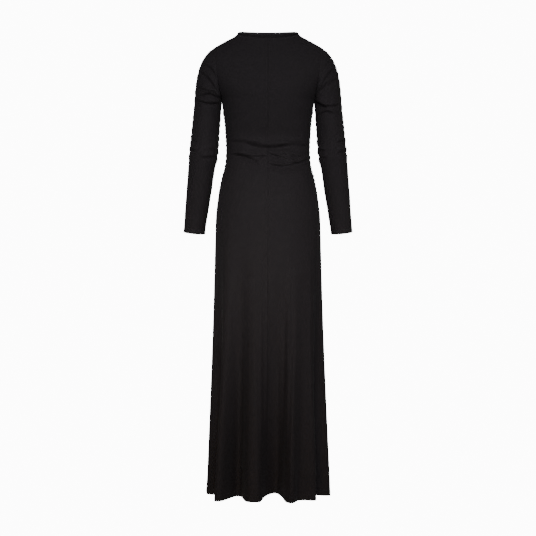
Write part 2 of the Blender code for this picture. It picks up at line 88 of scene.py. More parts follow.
# The body without its folds: half width, depth behind and before the side seams, and squareness.
SECTIONS = table(
    "z half_width back front | square",
    (-1530, 202, 105, 115, 2.1),
    (-1484, 200.4, 105, 115, 2.1),
    (-1191, 188.8, 108, 112, 2.1),
    (-866, 176.5, 115, 110, 2.2),
    (-673, 170.6, 120, 109, 2.3),
    (-595, 168, 122, 110, 2.3),
    (-543, 162.2, 117, 110, 2.3),
    (-504, 156, 108, 108, 2.3),
    (-465, 147.8, 96, 104, 2.3),
    (-439, 140.5, 87, 100, 2.3),
    (-413, 136.3, 80, 96, 2.3),
    (-378, 134.8, 76, 92, 2.3),
    (-348, 136, 79, 94, 2.3),
    (-296, 139.8, 90, 105, 2.3),
    (-244, 146.3, 99, 118, 2.3),
    (-222, 149.5, 101, 121, 2.25),
    (-200, 163.6, 102, 121, 2.2),
    (-165, 185.3, 99, 115, 2.2),
    (-120, 205.5, 90, 101, 2.2),
    (-85, 202, 80, 84, 2.2),
    (-52.5, 180, 67, 66, 2.2),
    (-30, 143.7, 58, 58, 2.2),
    (-3, 100, 47, 50, 2.15),
    (5, 97.5, 45, 47, 2.15),
    (12, 94, 42, 45, 2.15),
    (30, 80, 34, 40, 2.1),
)

# Flutes of the skirt in turn order: how far each stands out at the hem, how far it lifts the hem, the
# height where it begins, its turn at the hip and at the hem, and half the turn that it runs level.
FLUTES = table(
    "out lift start | hip hem level",
    (-26, 11, -900, 5, 3, 0),
    (19, 0, -680, 13, 12, 5),
    (-50, 5, -620, 29, 33, 3),
    (36, 0, -600, 44.5, 46, 3),
    (-50, 4, -600, 62, 62, 4),
    (-1, 5, -700, 93, 94, 0),
    (-10, 4, -750, 103, 104, 0),
    (22, 3, -700, 114, 117, 3),
    (-34, 6, -700, 131, 133, 3),
    (32, 0, -660, 147, 148, 3),
    (-44, 8, -780, 163, 163, 3),
    (34, 0, -700, 179, 179, 3),
    (-36, 6, -740, 195, 195, 3),
    (34, 0, -640, 211, 211, 3),
    (-36, 6, -700, 227, 227, 3),
    (20, 0, -660, 243, 243, 3),
    (-10, 2, -700, 257, 257, 0),
    (2, 0, -680, 267, 267, 0),
    (-55, 4, -660, 295, 302, 5),
    (15, 0, -620, 308, 315.5, 2.5),
    (4, 1, -620, 315, 325, 0),
    (0, 1, -620, 320, 332, 0),
    (41, 0, -700, 333, 342, 2.5),
    (-47, 10, -720, 341, 347, 0),
    (-56, 16, -800, 350, 353, 0),
)
FLUTE_GROWTH = 1.15
HEM_LIFT_REACH = 0.30

# The flutes are rounded over this turn, and over a wider one between these heights above the hem.
FLUTE_ROUNDING = 2.6
ROUNDING_GROWTH = 1.4
ROUNDING_FROM = 0.1
ROUNDING_TO = 0.5

# Fullness of the front at the bust, on either side of the centre
BUST_TURN = 38.0
BUST_Z = -0.195
BUST_FULLNESS = 0.010
BUST_SPREAD_TURN = 24.0
BUST_SPREAD_Z = 0.055
BUST_END_TURN = 60

# Gathers of the front into its side seams: height of each ridge at either seam, how far it stands out
# there, and the turn over which it fades towards the centre front. Fine puckers lie between them.
GATHERS = table(
    "z_left z_right out_left out_right | reach",
    (-263, -260, 2.4, 2.2, 34),
    (-276, -273, 1.2, 1.2, 22),
    (-287, -285, 1.4, 1.6, 30),
    (-300, -298, 1.2, 1.2, 40),
    (-312, -312, 1.2, 1, 26),
    (-323, -326, 2.2, 1.2, 44),
    (-338, -340, 1.6, 1.2, 30),
    (-351, -354, 1, 1.2, 24),
    (-364, -370, 1.6, 1.4, 38),
    (-380, -387, 1, 1.4, 28),
    (-397, -403, 1.6, 2.4, 46),
    (-415, -420, 1.4, 1.4, 30),
    (-431, -436, 2.4, 1.4, 36),
    (-443, -450, 1.4, 1.6, 24),
    (-457, -462, 1.6, 3, 40),
    (-470, -477, 1.4, 2.4, 30),
    (-484, -490, 1.6, 1.2, 34),
    (-499, -503, 1.6, 1.6, 26),
    (-511, -515, 1.4, 1.4, 22),
)
GATHER_ABOVE = -0.250
GATHER_BELOW = -0.522
GATHER_RISE = 1.25
GATHER_BEHIND = 7.0
GATHER_DRIFT = 0.5
DRIFT_TURNS = (4, 40)
CREST_SHARE = 0.65
VALLEY_SHARE = 0.35
PUCKER = 0.00035
PUCKER_LENGTH = 0.0062
PUCKER_WANDER = 3
PUCKER_WANDERS = 61
PUCKERS_HEAD = (GATHER_ABOVE, -0.262)
PUCKERS_FOOT = (GATHER_BELOW, -0.50)
PUCKER_FADE = {"front": 5.0, "back": 2.0}

# The rows of the front sag towards its centre, as gathered cloth does.
GATHER_SAG = 0.018
SAG_HEAD = (-0.15, -0.25)
SAG_FOOT = (-0.86, -0.50)
ARMPIT_SAG = 0.8

# Axis of the left sleeve and its half sizes across (towards the side) and deep (front to back). Above
# SQUARE_Z it bends in to the armhole, leaving it with these pulls at the shoulder and at the armpit.
SLEEVE = table(
    "z x y across deep |",
    (-660, 242.4, -29, 34.3, 28),
    (-648, 241.2, -27, 34.3, 28),
    (-580, 233, -18, 37, 32),
    (-504, 223.7, -8, 40.3, 37),
    (-426, 214.3, 1, 43, 41.5),
    (-405, 211, 3, 44.9, 43),
    (-374, 207.2, 4, 45.6, 44.5),
    (-310, 202, 3, 44.7, 47.5),
    (-250, 196.6, 0, 43.8, 50),
    (-240, 195.7, 0, 43.7, 50.2),
)
SQUARE_Z = -0.250
CAP_PULL = 0.19
CAP_PULL_LOW = 0.030
CAP_FULLNESS = 1.11
CAP_FOLLOW = 0.6
CAP_ROUNDNESS = 0.8
ARMPIT_LEAVES = (0.05, 0.0, -1.0)

# Steps over which the lean of the sleeve and of the body is taken
LEAN_STEP = 0.004
LEAN_TURN = 2

SLEEVE_GATHERS = table(
    "z_left z_right out_left out_right |",
    (-91, -89, 1, 1),
    (-113, -107, 1.6, 1.2),
    (-137, -128, 1.2, 1.6),
    (-162, -154, 1.2, 1.2),
    (-187, -182, 2, 1.2),
    (-214, -208, 1.4, 1.4),
    (-242, -236, 1.4, 2),
    (-268, -268, 1.4, 1.4),
    (-288, -285, 1.4, 1.4),
    (-309, -302, 1.6, 1.4),
    (-334, -321, 2.2, 1.6),
    (-352, -343, 1.6, 2.6),
    (-375, -374, 3, 3.4),
    (-393, -396, 2.6, 2.6),
)
SLEEVE_GATHER_ABOVE = -0.080
SLEEVE_GATHER_BELOW = -0.412
SLEEVE_PUCKER_LENGTH = 0.0070
SLEEVE_PUCKER_WANDER = 2.5
SLEEVE_PUCKER_WANDERS = 53
SLEEVE_PUCKERS_HEAD = (SLEEVE_GATHER_ABOVE, -0.10)
SLEEVE_PUCKERS_FOOT = (SLEEVE_GATHER_BELOW, -0.395)
PUCKERED_ANGLE = 272
PUCKERED_REACH = 26
SLEEVE_WANDER = 0.004
GATHERED_FRONT = (0.22, 0.62)

# Ease of the sleeve's cap along the armhole, which holds the cloth over this distance
EASE = 0.0004
EASE_WAVES = 20
EASE_REACH = 0.006
EASE_DOWN_TO = 0.25
HELD_BY_ARMHOLE = 0.010

# Creases laid on the cloth, each a line where cloth from above folds softly over the cloth below: its
# start, middle and end as x and z, the height of the step, how far it reaches, and the share of the
# step that stands out above the line, the rest being pressed in below it.
CREASE_NAMES = "x1 z1 x2 z2 x3 z3 depth reach | lip"

BACK_CREASES = table(
    CREASE_NAMES,
    (126, -353, 77, -357, 13, -366, 4.6, 5.4, 0.5),
    (77, -360, 3, -374, -77, -366, 11.8, 8.6, 0.5),
    (-26, -370, -77, -366, -139, -369, 5.2, 5.4, 0.5),
    (-13, -352, -65, -357, -116, -359, 3.2, 5, 0.5),
    (122, -395, 70, -406, 13, -433, 10.4, 6.2, 0.5),
    (103, -390, 54, -404, -10, -402, 9.6, 7.2, 0.5),
    (-35, -387, -67, -404, -109, -413, 9.2, 4.8, 0.5),
    (6, -393, -41, -407, -83, -419, 11.8, 5.8, 0.5),
    (-51, -386, -77, -400, -119, -405, 7.6, 4.6, 0.5),
    (-19, -416, -57, -422, -96, -425, 9.8, 4.8, 0.5),
    (6, -427, -67, -433, -136, -403, 13.8, 6.6, 0.5),
    (-32, -449, -83, -441, -132, -425, 7.4, 5.4, 0.5),
    (41, -316, 22, -318, 0, -319, 0.9, 4.5, 0.5),
    (136, -432, 103, -448, 57, -456, 1.4, 8.7, 0.5),
    (-136, -452, -96, -467, -45, -472, 1.3, 8.7, 0.5),
)
FRONT_CREASES = table(
    CREASE_NAMES,
    (118, -372, 50, -392, -30, -396, 3.7, 8, 0.5),
    (-118, -378, -60, -402, 10, -410, 3.5, 8, 0.5),
    (112, -418, 60, -436, 0, -440, 3.2, 7.5, 0.4),
    (-110, -424, -70, -446, -10, -454, 3.2, 8, 0.5),
    (125, -252, 85, -280, 20, -292, 3, 9, 0.4),
    (-125, -256, -80, -284, -15, -300, 2.8, 9, 0.4),
    (100, -330, 50, -350, 0, -356, 2.5, 8, 0.4),
    (-104, -334, -60, -348, -20, -350, 2.2, 7, 0.4),
    (140, -150, 122, -180, 100, -200, 2, 8, 0.3),
    (-140, -154, -124, -184, -98, -206, 2, 8, 0.3),
)
LEFT_SLEEVE_CREASES = table(
    CREASE_NAMES,
    (209, -81, 193, -95, 177, -111, 3.1, 5, 0.5),
    (219, -101, 182, -121, 163, -160, 6.6, 5.6, 0.5),
    (222, -124, 188, -156, 155, -208, 8.5, 5.6, 0.5),
    (229, -174, 197, -191, 158, -195, 6.4, 5, 0.5),
    (226, -218, 190, -202, 153, -222, 12.6, 6.3, 0.5),
    (229, -211, 200, -231, 151, -227, 9.2, 5.6, 0.5),
    (180, -189, 168, -201, 150, -218, 5.9, 4.4, 0.5),
    (238, -205, 226, -226, 209, -250, 4.2, 5, 0.5),
    (258, -376, 246, -379, 229, -385, 7.1, 5, 0.6),
    (219, -406, 190, -403, 158, -398, 6, 5, 0.6),
    (251, -348, 238, -351, 222, -354, 3.1, 5, 0.5),
    (193, -379, 177, -380, 161, -377, 2.5, 5, 0.5),
)
RIGHT_SLEEVE_CREASES = table(
    CREASE_NAMES,
    (222, -113, 188, -145, 156, -211, 8.5, 5.6, 0.5),
    (203, -153, 184, -172, 163, -201, 7.8, 5, 0.5),
    (219, -150, 205, -161, 187, -182, 6.2, 5, 0.5),
    (151, -214, 188, -241, 235, -229, 9.7, 6.3, 0.5),
    (156, -222, 172, -236, 193, -250, 8.8, 5, 0.5),
    (159, -275, 187, -258, 219, -272, 10.6, 5.6, 0.5),
    (193, -247, 216, -258, 238, -279, 5, 5, 0.5),
    (200, -92, 190, -103, 177, -114, 2.5, 5, 0.5),
    (222, -355, 238, -352, 258, -346, 6.6, 5, 0.6),
    (222, -390, 238, -386, 258, -377, 7.1, 5, 0.6),
    (155, -379, 168, -380, 187, -383, 5.5, 5, 0.6),
    (156, -401, 171, -403, 193, -404, 4.9, 5, 0.6),
)

SLEEVE_CREASES = {"left": LEFT_SLEEVE_CREASES, "right": RIGHT_SLEEVE_CREASES}

# A crease's rounded step fades and narrows over the taper's share of its length at either end. Its
# bulge above the line and its press below it die out over these numbers of reaches.
CREASE_SAMPLES = 81
CREASE_SHARPNESS = 0.62
CREASE_TAPER = 0.22
BULGE_REACH = 2.6
PRESS_REACH = 1.8
CREASE_MARGIN = 6

# The front of a sleeve has the other sleeve's creases, lower and shallower; near the side they fade.
FRONT_CREASES_LOWER = 0.012
FRONT_CREASES_SHARE = 0.8
CREASED_FACE = (0.05, 0.45)

# The turn from which the creases of the body fade into the armhole
CREASES_FROM_ARMHOLE = 80

# Slow unevenness of cloth on a body: height of each wave, waves in a metre across and down, and phase
SLOW_WAVES = table(
    "height | across down phase",
    (0.45, 11, 7, 0.4),
    (0.45, -6, 13, 1.9),
    (0.3, 17, -9, 3.1),
    (0.3, 5, 23, 4.4),
    (0.2, -21, 15, 0.9),
    (0.12, 29, 31, 2.2),
)

# The turn that shifts these waves' phase by one, the sleeves' own phases and share, how far a seam
# calms them, and where they grow on the body and on the sleeves
PHASE_TURN = 57.0
SLEEVE_PHASE = {"left": 2.0, "right": 5.0}
SLEEVE_SHARE = 0.6
WAVE_FADE = 0.03
UNEVEN_BELOW = -0.12
SLEEVE_UNEVEN = (-0.22, -0.30)

# How far the cloth stands out from the solids' rings, and how fine and how crowded its grids are. A
# sleeve's inner column runs down its seam, and its outer one down the outside of the arm.
FULLNESS = 0.0012
BODY_STEP = 0.0026
WAIST_STEP = 0.0017
SLEEVE_STEP = 0.0022
COLUMN_TURN = 1.5
SLEEVE_COLUMNS = 112
SEAM_CROWDING = 1.8
LEAST_COLUMNS = 4
SEAM_COLUMNS = 4
INNER_COLUMN = {"left": 55, "right": 56}
OUTER_COLUMN = {"left": 111, "right": 0}
SHARP_TURN = 62

# Rows from neck to armpit go by steps: those of the shoulder, the armhole's angle to a step, and those
# over which the front keeps its neckline's curve, which fades over a turn from the shoulder.
SHOULDER_STEPS = 3
ARMHOLE_STEP = 22.5
ARMPIT_STEPS = 11
ARMHOLE_ROWS = 57
NECK_CURVE_STEPS = 5
NECK_CURVE_TURN = 14

# Heights where the rows of the body and of the sleeves change their spacing
WAIST_TOP = -0.338
WAIST_FOOT = -0.460
SEAT_Z = -0.528
SKIRT_TOP = -0.530
SKIRT_ENDS = 0.054
SKIRT_ROWS = 92
CAP_ROWS = 84
ELBOW_Z = -0.416
FOREARM_TOP = -0.420
FOREARM_ENDS = 0.037
FOREARM_ROWS = 32

# A turned hem: its rise and the step up to it, the pull of its stitches, and its edge, which rolls in
HEM_RISE = 0.00035
HEM_STEP = 0.0025
STITCH_PULL = 0.00045
EDGE_FALL = 0.0004
HEM_ROLL = 0.0012
HEM_THICKENING = 0.5
HEM_FEATHER = 0.001

# Seams: the rise of the allowances beside them, the sunk line at them, and where the armhole's seam
# gives way to a plain one, nearer the centre, below the armpit and up on the shoulder
ALLOWANCE_RISE = 0.0002
ALLOWANCE_NEAR = (0.0, 0.0022)
ALLOWANCE_FAR = (0.016, 0.004)
SEAM_SINK = 0.0005
SEAM_REACH = 0.0010
SEAM_FADE = 0.003
ARMHOLE_SIDE = (0.145, 0.135)
ARMHOLE_FOOT = (-0.222, -0.236)
ARMHOLE_HEAD = (-0.045, -0.030)

# Shade in the seams and wear at the edges
# The seam shade is painted shade: the cloth's colour is made darker along its seams.
SEAM_SHADE = 0.8
ARMHOLE_SHADE_REACH = 0.0014
UNDER_SHADE_REACH = 0.0012
EDGE_WEAR_REACH = 0.0022
NECK_WEAR = 2.0
NECK_WEAR_REACH = 0.0026

# Thread, the share of a stitch that shows, and the neck facing, which hugs the cloth it lies in
THREAD = 0.00035
STROKE_SHARE = 0.74
FACING_TOP = 0.0004
FACING_THICKNESS = 0.0008
FACING_ROWS = 9
FACING_ROLL = 0.25
FACING_WEAR_REACH = 0.0015
HUG = 0.0001

# Knit and thread: width of a column of stitches, its proportions and the scales of the fine noise
WALE = 0.0008
FACING_WALE = 0.0007
COURSES_TO_WALES = 1.35
LEG_LEAN = 1.2
KNIT_RELIEF = 0.00025
FUZZ_SCALE = 2600.0
TWIST_SCALE = 2400.0
TWIST_RELIEF = 0.0001
BROAD_DYE = 7.0
FINE_DYE = 160.0

# --- studio
IMAGE_SIZE = 536
CAMERA_PLACE = (0.0, 4.2, -0.762)
CAMERA_FOCAL = 1292
SENSOR = 36.0
FLOOR_REACH = 1.05
WORLD_STRENGTH = 0.10
SEEN_STRENGTH = 12.0

# Lights: name, place, aim, size, power, spread in degrees, colour
LIGHTS = (
    ("key_light", (-0.2, 3.2, 0.5), (0, 0, -0.56), 2.2, 15.2, 40, (1, 0.98, 1.02)),
    ("front_light", (-0.2, -3.2, 0.5), (0, 0, -0.64), 2.2, 26.0, 55, (1, 0.98, 1)),
    ("left_light", (2.3, 2.5, 0.6), (0, 0, -0.20), 2.0, 4.5, 50, (1, 0.98, 1.03)),
    ("right_light", (-2.3, 2.5, -0.1), (0, 0, -0.50), 2.0, 3.9, 50, (1, 0.98, 1.02)),
    ("left_side_light", (3.2, -0.3, -0.2), (0, 0, -0.75), 2.0, 1.8, 70, (1, 0.94, 0.87)),
    ("right_side_light", (-3.2, 0.2, -0.2), (0, 0, -0.75), 2.0, 2.4, 70, (1, 0.94, 0.87)),
    ("hip_light", (1.0, 3.0, -0.2), (0.01, 0, -0.78), 0.6, 0.68, 15, (1, 0.95, 0.90)),
    ("low_light", (0.8, 3.0, -1.7), (0.02, 0, -1.46), 1.4, 1.35, 30, (1, 0.62, 0.20)),
)


# --- curves


def smooth(x, xs, ys):
    """For each x, the curve through its points (xs, ys), xs rising, that never swings past them."""
    x = np.asarray(x, float)
    xs, ys = (np.broadcast_to(values, x.shape + np.shape(values)[-1:]) for values in (xs, ys))
    width = np.diff(xs)
    slope = np.diff(ys) / width
    before, after = 2 * width[..., 1:] + width[..., :-1], width[..., 1:] + 2 * width[..., :-1]
    rising = slope[..., :-1] * slope[..., 1:] > 0
    first, second = (np.where(rising, part, 1.0) for part in (slope[..., :-1], slope[..., 1:]))
    inner = np.where(rising, (before + after) / (before / first + after / second), 0.0)
    tangent = np.concatenate([slope[..., :1], inner, slope[..., -1:]], axis=-1)
    at = np.clip((xs < x[..., None]).sum(-1) - 1, 0, xs.shape[-1] - 2)[..., None]

    def pick(values, step=0):
        return np.take_along_axis(values, at + step, -1)[..., 0]

    w = pick(width)
    t = np.clip((x - pick(xs)) / w, 0.0, 1.0)
    level = (1 + 2 * t) * (1 - t) ** 2 * pick(ys) + eased(t) * pick(ys, 1)
    return level + w * (t * (1 - t) ** 2 * pick(tangent) - t * t * (1 - t) * pick(tangent, 1))


def share(value, start, end):
    """How far value lies from start (0) to end (1), held between them."""
    return np.clip((value - start) / (end - start), 0.0, 1.0)


def eased(t):
    """A share that leaves 0 and reaches 1 gently."""
    return t * t * (3 - 2 * t)


def bell(distance, reach):
    return np.exp(-((distance / reach) ** 2))


def unit(v):
    return v / np.linalg.norm(v, axis=-1, keepdims=True)


def at_height(z, lines, *names):
    """Columns of a table of main lines, at heights."""
    return [smooth(z, lines["z"], lines[name]) for name in names]


def ridges(crests, heights, above, below):
    """Heights of the valleys and crests of gathers in rising order, and how far each stands out."""
    edges = np.concatenate([[above], crests, [below]])
    zs, outs = [], []
    for i in range(len(crests)):
        zs += [(edges[i] + edges[i + 1]) / 2 if i else above, crests[i]]
        valley = -VALLEY_SHARE * (heights[i] + heights[i - 1]) / 2 if i else 0.0
        outs += [valley, CREST_SHARE * heights[i]]
    zs, outs = np.array(zs + [below]), np.array(outs + [0.0])
    return zs[::-1], outs[::-1]


# --- the body


def section(z):
    """Half width, depth behind, depth before and squareness at heights."""
    return at_height(z, SECTIONS, "half_width", "back", "front", "square")


def ring(turn, z):
    """Points of the plain body at turns and heights, and the way out from it in the level plane."""
    half_width, back, front, square = section(z)
    across, behind = np.sin(np.radians(turn)), np.cos(np.radians(turn))
    depth = np.where(behind > 0, back, front)
    size = (np.abs(across) ** square + np.abs(behind) ** square) ** (1 / square)
    x, y = across / size, behind / size
    out_x = np.sign(x) * np.abs(x) ** (square - 1) / half_width
    out_y = np.sign(y) * np.abs(y) ** (square - 1) / depth
    out = unit(np.stack([out_x, out_y, 0 * z], axis=-1))
    return np.stack([half_width * x, depth * y, z], axis=-1), out


def flute_lines(z):
    """Turns at heights of the lines that bound the crests and valleys, and the flute of each."""
    down = share(np.asarray(z, float), FLUTES["start"].max(), HEM_Z)[..., None]
    levels = [(-level, level) if level else (0,) for level in FLUTES["level"]]
    flutes = np.repeat(np.arange(len(levels)), [len(level) for level in levels])
    offsets = np.concatenate(levels)
    hip, hem = FLUTES["hip"][flutes] + offsets, FLUTES["hem"][flutes] + offsets
    return hip + (hem - hip) * down, flutes


def wrapped(values, step):
    """Values round the body with the last and first three repeated beyond both ends."""
    return np.concatenate([values[..., -3:] - step, values, values[..., :3] + step], axis=-1)


def flute(turn, z):
    """How far the skirt's flutes push the cloth out, and how far they lift the hem."""
    turns, flutes = flute_lines(z)
    grown = share(z[..., None], FLUTES["start"], HEM_Z) ** FLUTE_GROWTH
    outs = (FLUTES["out"] * grown)[..., flutes]
    low = share(z, HEM_Z + HEM_LIFT_REACH, HEM_Z)[..., None] ** 2
    lifts = (FLUTES["lift"] * low)[..., flutes]
    return [smooth(turn % 360, wrapped(turns, 360), wrapped(sizes, 0)) for sizes in (outs, lifts)]


def bust(turn, z):
    """Fullness of the front at the bust."""
    from_centre = np.abs(turn % 360 - 180)
    side = bell(from_centre - BUST_TURN, BUST_SPREAD_TURN) * share(from_centre, 90, BUST_END_TURN)
    return BUST_FULLNESS * side * bell(z - BUST_Z, BUST_SPREAD_Z)


def body(turn, z, gather=0.0):
    """The outer face of the cloth on the body, with its flutes rounded a little."""
    turn, z = np.broadcast_arrays(np.asarray(turn, float), np.asarray(z, float))
    point, out = ring(turn, z)
    step = FLUTE_ROUNDING * (1 + ROUNDING_GROWTH * share(z, HEM_Z + ROUNDING_FROM, HEM_Z + ROUNDING_TO))
    before, (pushed, lift), after = (flute(turn + away * step, z) for away in (-1, 0, 1))
    pushed = (before[0] + 2 * pushed + after[0]) / 4
    point = point + out * (pushed + gather + bust(turn, z) + FULLNESS)[..., None]
    point[..., 2] += lift
    return point


# --- armholes and sleeves


def armhole_place(angle):
    """Turn and height of the left armhole: angle 0 is the shoulder tip, 90 behind, 180 the armpit."""
    turned = np.radians(np.asarray(angle, float))
    middle, half = (SHOULDER_TIP_Z + ARMPIT_Z) / 2, (SHOULDER_TIP_Z - ARMPIT_Z) / 2
    z = middle + half * np.cos(turned)
    _, back, front, square = section(z)
    behind = np.sin(turned) > 0
    y = np.where(behind, ARMHOLE_BACK / back, ARMHOLE_FRONT / front) * np.sin(turned)
    x = (1 - np.abs(y) ** square) ** (1 / square)
    return np.degrees(np.arctan2(x, y)), z


def sleeve_ring(angle, z):
    """The plain left sleeve round its axis, with the way out and the way down the arm."""
    x, y, half_across, half_deep = at_height(z, SLEEVE, "x", "y", "across", "deep")
    below, above = (at_height(end, SLEEVE, "x", "y") for end in (z - LEAN_STEP, z + LEAN_STEP))
    down = unit(np.stack([*np.subtract(below, above), 0 * z - 2 * LEAN_STEP], axis=-1))
    deep = unit(np.cross(np.array([1.0, 0.0, 0.0]), down))
    across = unit(np.cross(down, deep))
    c, s = np.cos(np.radians(angle))[..., None], np.sin(np.radians(angle))[..., None]
    half_across, half_deep = half_across[..., None], half_deep[..., None]
    point = np.stack([x, y, z], axis=-1) + across * half_across * c + deep * half_deep * s
    return point, unit(across * c / half_across + deep * s / half_deep), down


def cap(angle, along):
    """The left sleeve between the armhole (along 0) and its first ring square to the arm (along 1)."""
    angle, t = np.broadcast_arrays(np.asarray(angle, float), np.asarray(along, float))
    start = body(*armhole_place(angle))
    end, _, down = sleeve_ring(angle, np.full(angle.shape, SQUARE_Z))
    top = ((1 + np.cos(np.radians(angle))) / 2)[..., None]
    pull = CAP_PULL_LOW + (CAP_PULL - CAP_PULL_LOW) * top**CAP_ROUNDNESS
    fall = np.array([math.cos(SHOULDER_FALL), 0.0, -math.sin(SHOULDER_FALL)])
    leave = unit(fall * top + np.array(ARMPIT_LEAVES) * (1 - top))
    turn, z = armhole_place(angle)
    across = body(turn + LEAN_TURN, z) - body(turn - LEAN_TURN, z)
    flat = unit(np.cross(across, body(turn, z - LEAN_STEP) - body(turn, z + LEAN_STEP)))
    leave = unit(leave - CAP_FOLLOW * top * (leave * flat).sum(-1, keepdims=True) * flat)
    t = t[..., None]
    ends = (1 + 2 * t) * (1 - t) ** 2 * start + eased(t) * end
    return ends + t * (1 - t) ** 2 * leave * pull * CAP_FULLNESS - t * t * (1 - t) * down * pull


# --- creases


def grid_out(points, round_it=False):
    """Outward directions at the points of a grid whose columns run to the left seen from outside."""
    if round_it:
        across = np.roll(points, -1, axis=1) - np.roll(points, 1, axis=1)
    else:
        across = np.gradient(points, axis=1)
    return unit(np.cross(across, np.gradient(points, axis=0)))


def run(points, axis):
    """Distance run down the columns (axis 0) or along the rows (axis 1) of a grid."""
    steps = np.linalg.norm(np.diff(points, axis=axis), axis=2)
    return np.insert(np.cumsum(steps, axis=axis), 0, 0.0, axis=axis)


def distance_from(points, *lines):
    """Distance of every point of a grid from the nearest of some lines."""
    dense = []
    for line in lines:
        steps = np.linspace(0, len(line) - 1, 6 * len(line))
        at = np.minimum(steps.astype(int), len(line) - 2)
        dense.append(line[at] + (line[at + 1] - line[at]) * (steps - at)[:, None])
    dense = np.concatenate(dense)
    tree = KDTree(len(dense))
    for i, point in enumerate(dense):
        tree.insert(point, i)
    tree.balance()
    return np.array([tree.find(point)[2] for point in points.reshape(-1, 3)]).reshape(points.shape[:2])


def crease_depth(x, z, creases, strength=1.0):
    """How far creases push the cloth out or in, at places seen level from behind or before."""
    pushed = np.zeros(x.shape)
    t = np.linspace(0.0, 1.0, CREASE_SAMPLES)
    start, middle, end = (1 - t) * (1 - 2 * t), 4 * t * (1 - t), t * (2 * t - 1)
    for i in range(len(creases["depth"])):
        row = {name: creases[name][i] for name in creases}
        line = [row[a + "1"] * start + row[a + "2"] * middle + row[a + "3"] * end for a in "xz"]
        rise = np.stack([-np.gradient(line[1]), np.gradient(line[0])])
        rise *= np.sign(rise[1]) / np.hypot(*rise)
        margin = CREASE_MARGIN * row["reach"]
        near = (x > min(line[0]) - margin) & (x < max(line[0]) + margin)
        near &= (z > min(line[1]) - margin) & (z < max(line[1]) + margin)
        if not near.any():
            continue
        dx, dz = x[near][:, None] - line[0], z[near][:, None] - line[1]
        at = np.argmin(dx**2 + dz**2, axis=1)[:, None]
        dx, dz = np.take_along_axis(dx, at, 1)[:, 0], np.take_along_axis(dz, at, 1)[:, 0]
        at = at[:, 0]
        above = np.hypot(dx, dz) * np.sign(dx * rise[0][at] + dz * rise[1][at])
        fade = eased(share(np.minimum(t[at], 1 - t[at]), 0.0, CREASE_TAPER))
        reach = row["reach"] * (0.5 + 0.5 * fade)
        over = 0.5 + 0.5 * np.tanh(above / (CREASE_SHARPNESS * reach))
        bulge = row["lip"] * over * bell(np.maximum(above, 0), BULGE_REACH * reach)
        press = (1 - row["lip"]) * (1 - over) * bell(np.minimum(above, 0), PRESS_REACH * reach)
        pushed[near] += strength * row["depth"] * fade * (bulge - press)
    return pushed


def slow_waves(across, down, phase):
    """Slow unevenness over a piece, from distances across and down it."""
    pushed = 0.0
    for i in range(len(SLOW_WAVES["height"])):
        a, d, p, h = (SLOW_WAVES[name][i] for name in ("across", "down", "phase", "height"))
        pushed = pushed + h * np.sin(2 * np.pi * (a * across + d * down) + p + phase * (i + 1))
    return pushed


# --- grids of the pieces


def body_rows():
    """Rows from neck to hem: height at the sides, centre back and centre front, the armhole's angle or
    none, and how much of the neckline's own curve the front still has."""
    near_neck = [0, 0.02, 0.05, 0.09, 0.15, 0.22, 0.3, 0.4]
    shoulder = np.concatenate([near_neck, np.linspace(0.5, SHOULDER_STEPS, 16)[:-1]])
    sides = NECK_SIDE_Z + (SHOULDER_TIP_Z - NECK_SIDE_Z) * shoulder / SHOULDER_STEPS
    angles = np.linspace(0, 180, ARMHOLE_ROWS)
    steps = np.concatenate([shoulder, SHOULDER_STEPS + angles / ARMHOLE_STEP]) / ARMPIT_STEPS
    side = np.concatenate([sides, armhole_place(angles)[1]])
    back = NECK_BACK_Z + (ARMPIT_Z - NECK_BACK_Z) * steps
    front = NECK_FRONT_Z + (ARMPIT_Z - ARMPIT_SAG * GATHER_SAG - NECK_FRONT_Z) * steps
    fine = np.concatenate(
        [
            np.arange(ARMPIT_Z - BODY_STEP, WAIST_TOP, -BODY_STEP),
            np.arange(WAIST_TOP, WAIST_FOOT, -WAIST_STEP),
            np.arange(WAIST_FOOT, SEAT_Z, -BODY_STEP),
        ]
    )
    above_hem = [0.045, 0.036, 0.028, 0.022, 0.0185, 0.0165, 0.015, 0.012, 0.008, 0.004, 0.0015, 0]
    skirt = np.linspace(SKIRT_TOP, HEM_Z + SKIRT_ENDS, SKIRT_ROWS)
    skirt = np.concatenate([skirt, HEM_Z + np.array(above_hem)])
    lower = np.concatenate([fine, skirt])
    sag = GATHER_SAG * share(lower, *SAG_FOOT) * share(lower, *SAG_HEAD)
    none = np.full(lower.shape, np.nan)
    return {
        "side": np.concatenate([side, lower]),
        "back": np.concatenate([back, lower]),
        "front": np.concatenate([front, lower - sag]),
        "angle": np.concatenate([np.full(shoulder.shape, np.nan), angles, none]),
        "neck": np.concatenate([share(steps * ARMPIT_STEPS, NECK_CURVE_STEPS, 0), 0 * lower]),
    }


def panel_columns(first, last):
    """Places of a piece's columns: the flute line before each, and the share of the way to the next."""
    lines, _ = flute_lines(HEM_Z)
    inside = lines[(lines > first) & (lines < last)]
    edges = np.concatenate([[first], inside, [last]])
    places = []
    for i, width in enumerate(np.diff(edges)):
        count = max(LEAST_COLUMNS, math.ceil(width / COLUMN_TURN))
        crowd = (np.arange(count + SEAM_COLUMNS) / (count + SEAM_COLUMNS)) ** SEAM_CROWDING
        t = np.arange(count) / count
        if i == 0:
            t = crowd
        if i == len(edges) - 2:
            t = 1 - (1 - np.arange(count + SEAM_COLUMNS) / (count + SEAM_COLUMNS)) ** SEAM_CROWDING
        places += [(i, value) for value in t]
    places.append((len(edges) - 2, 1.0))
    return np.array([i for i, _ in places]), np.array([t for _, t in places])


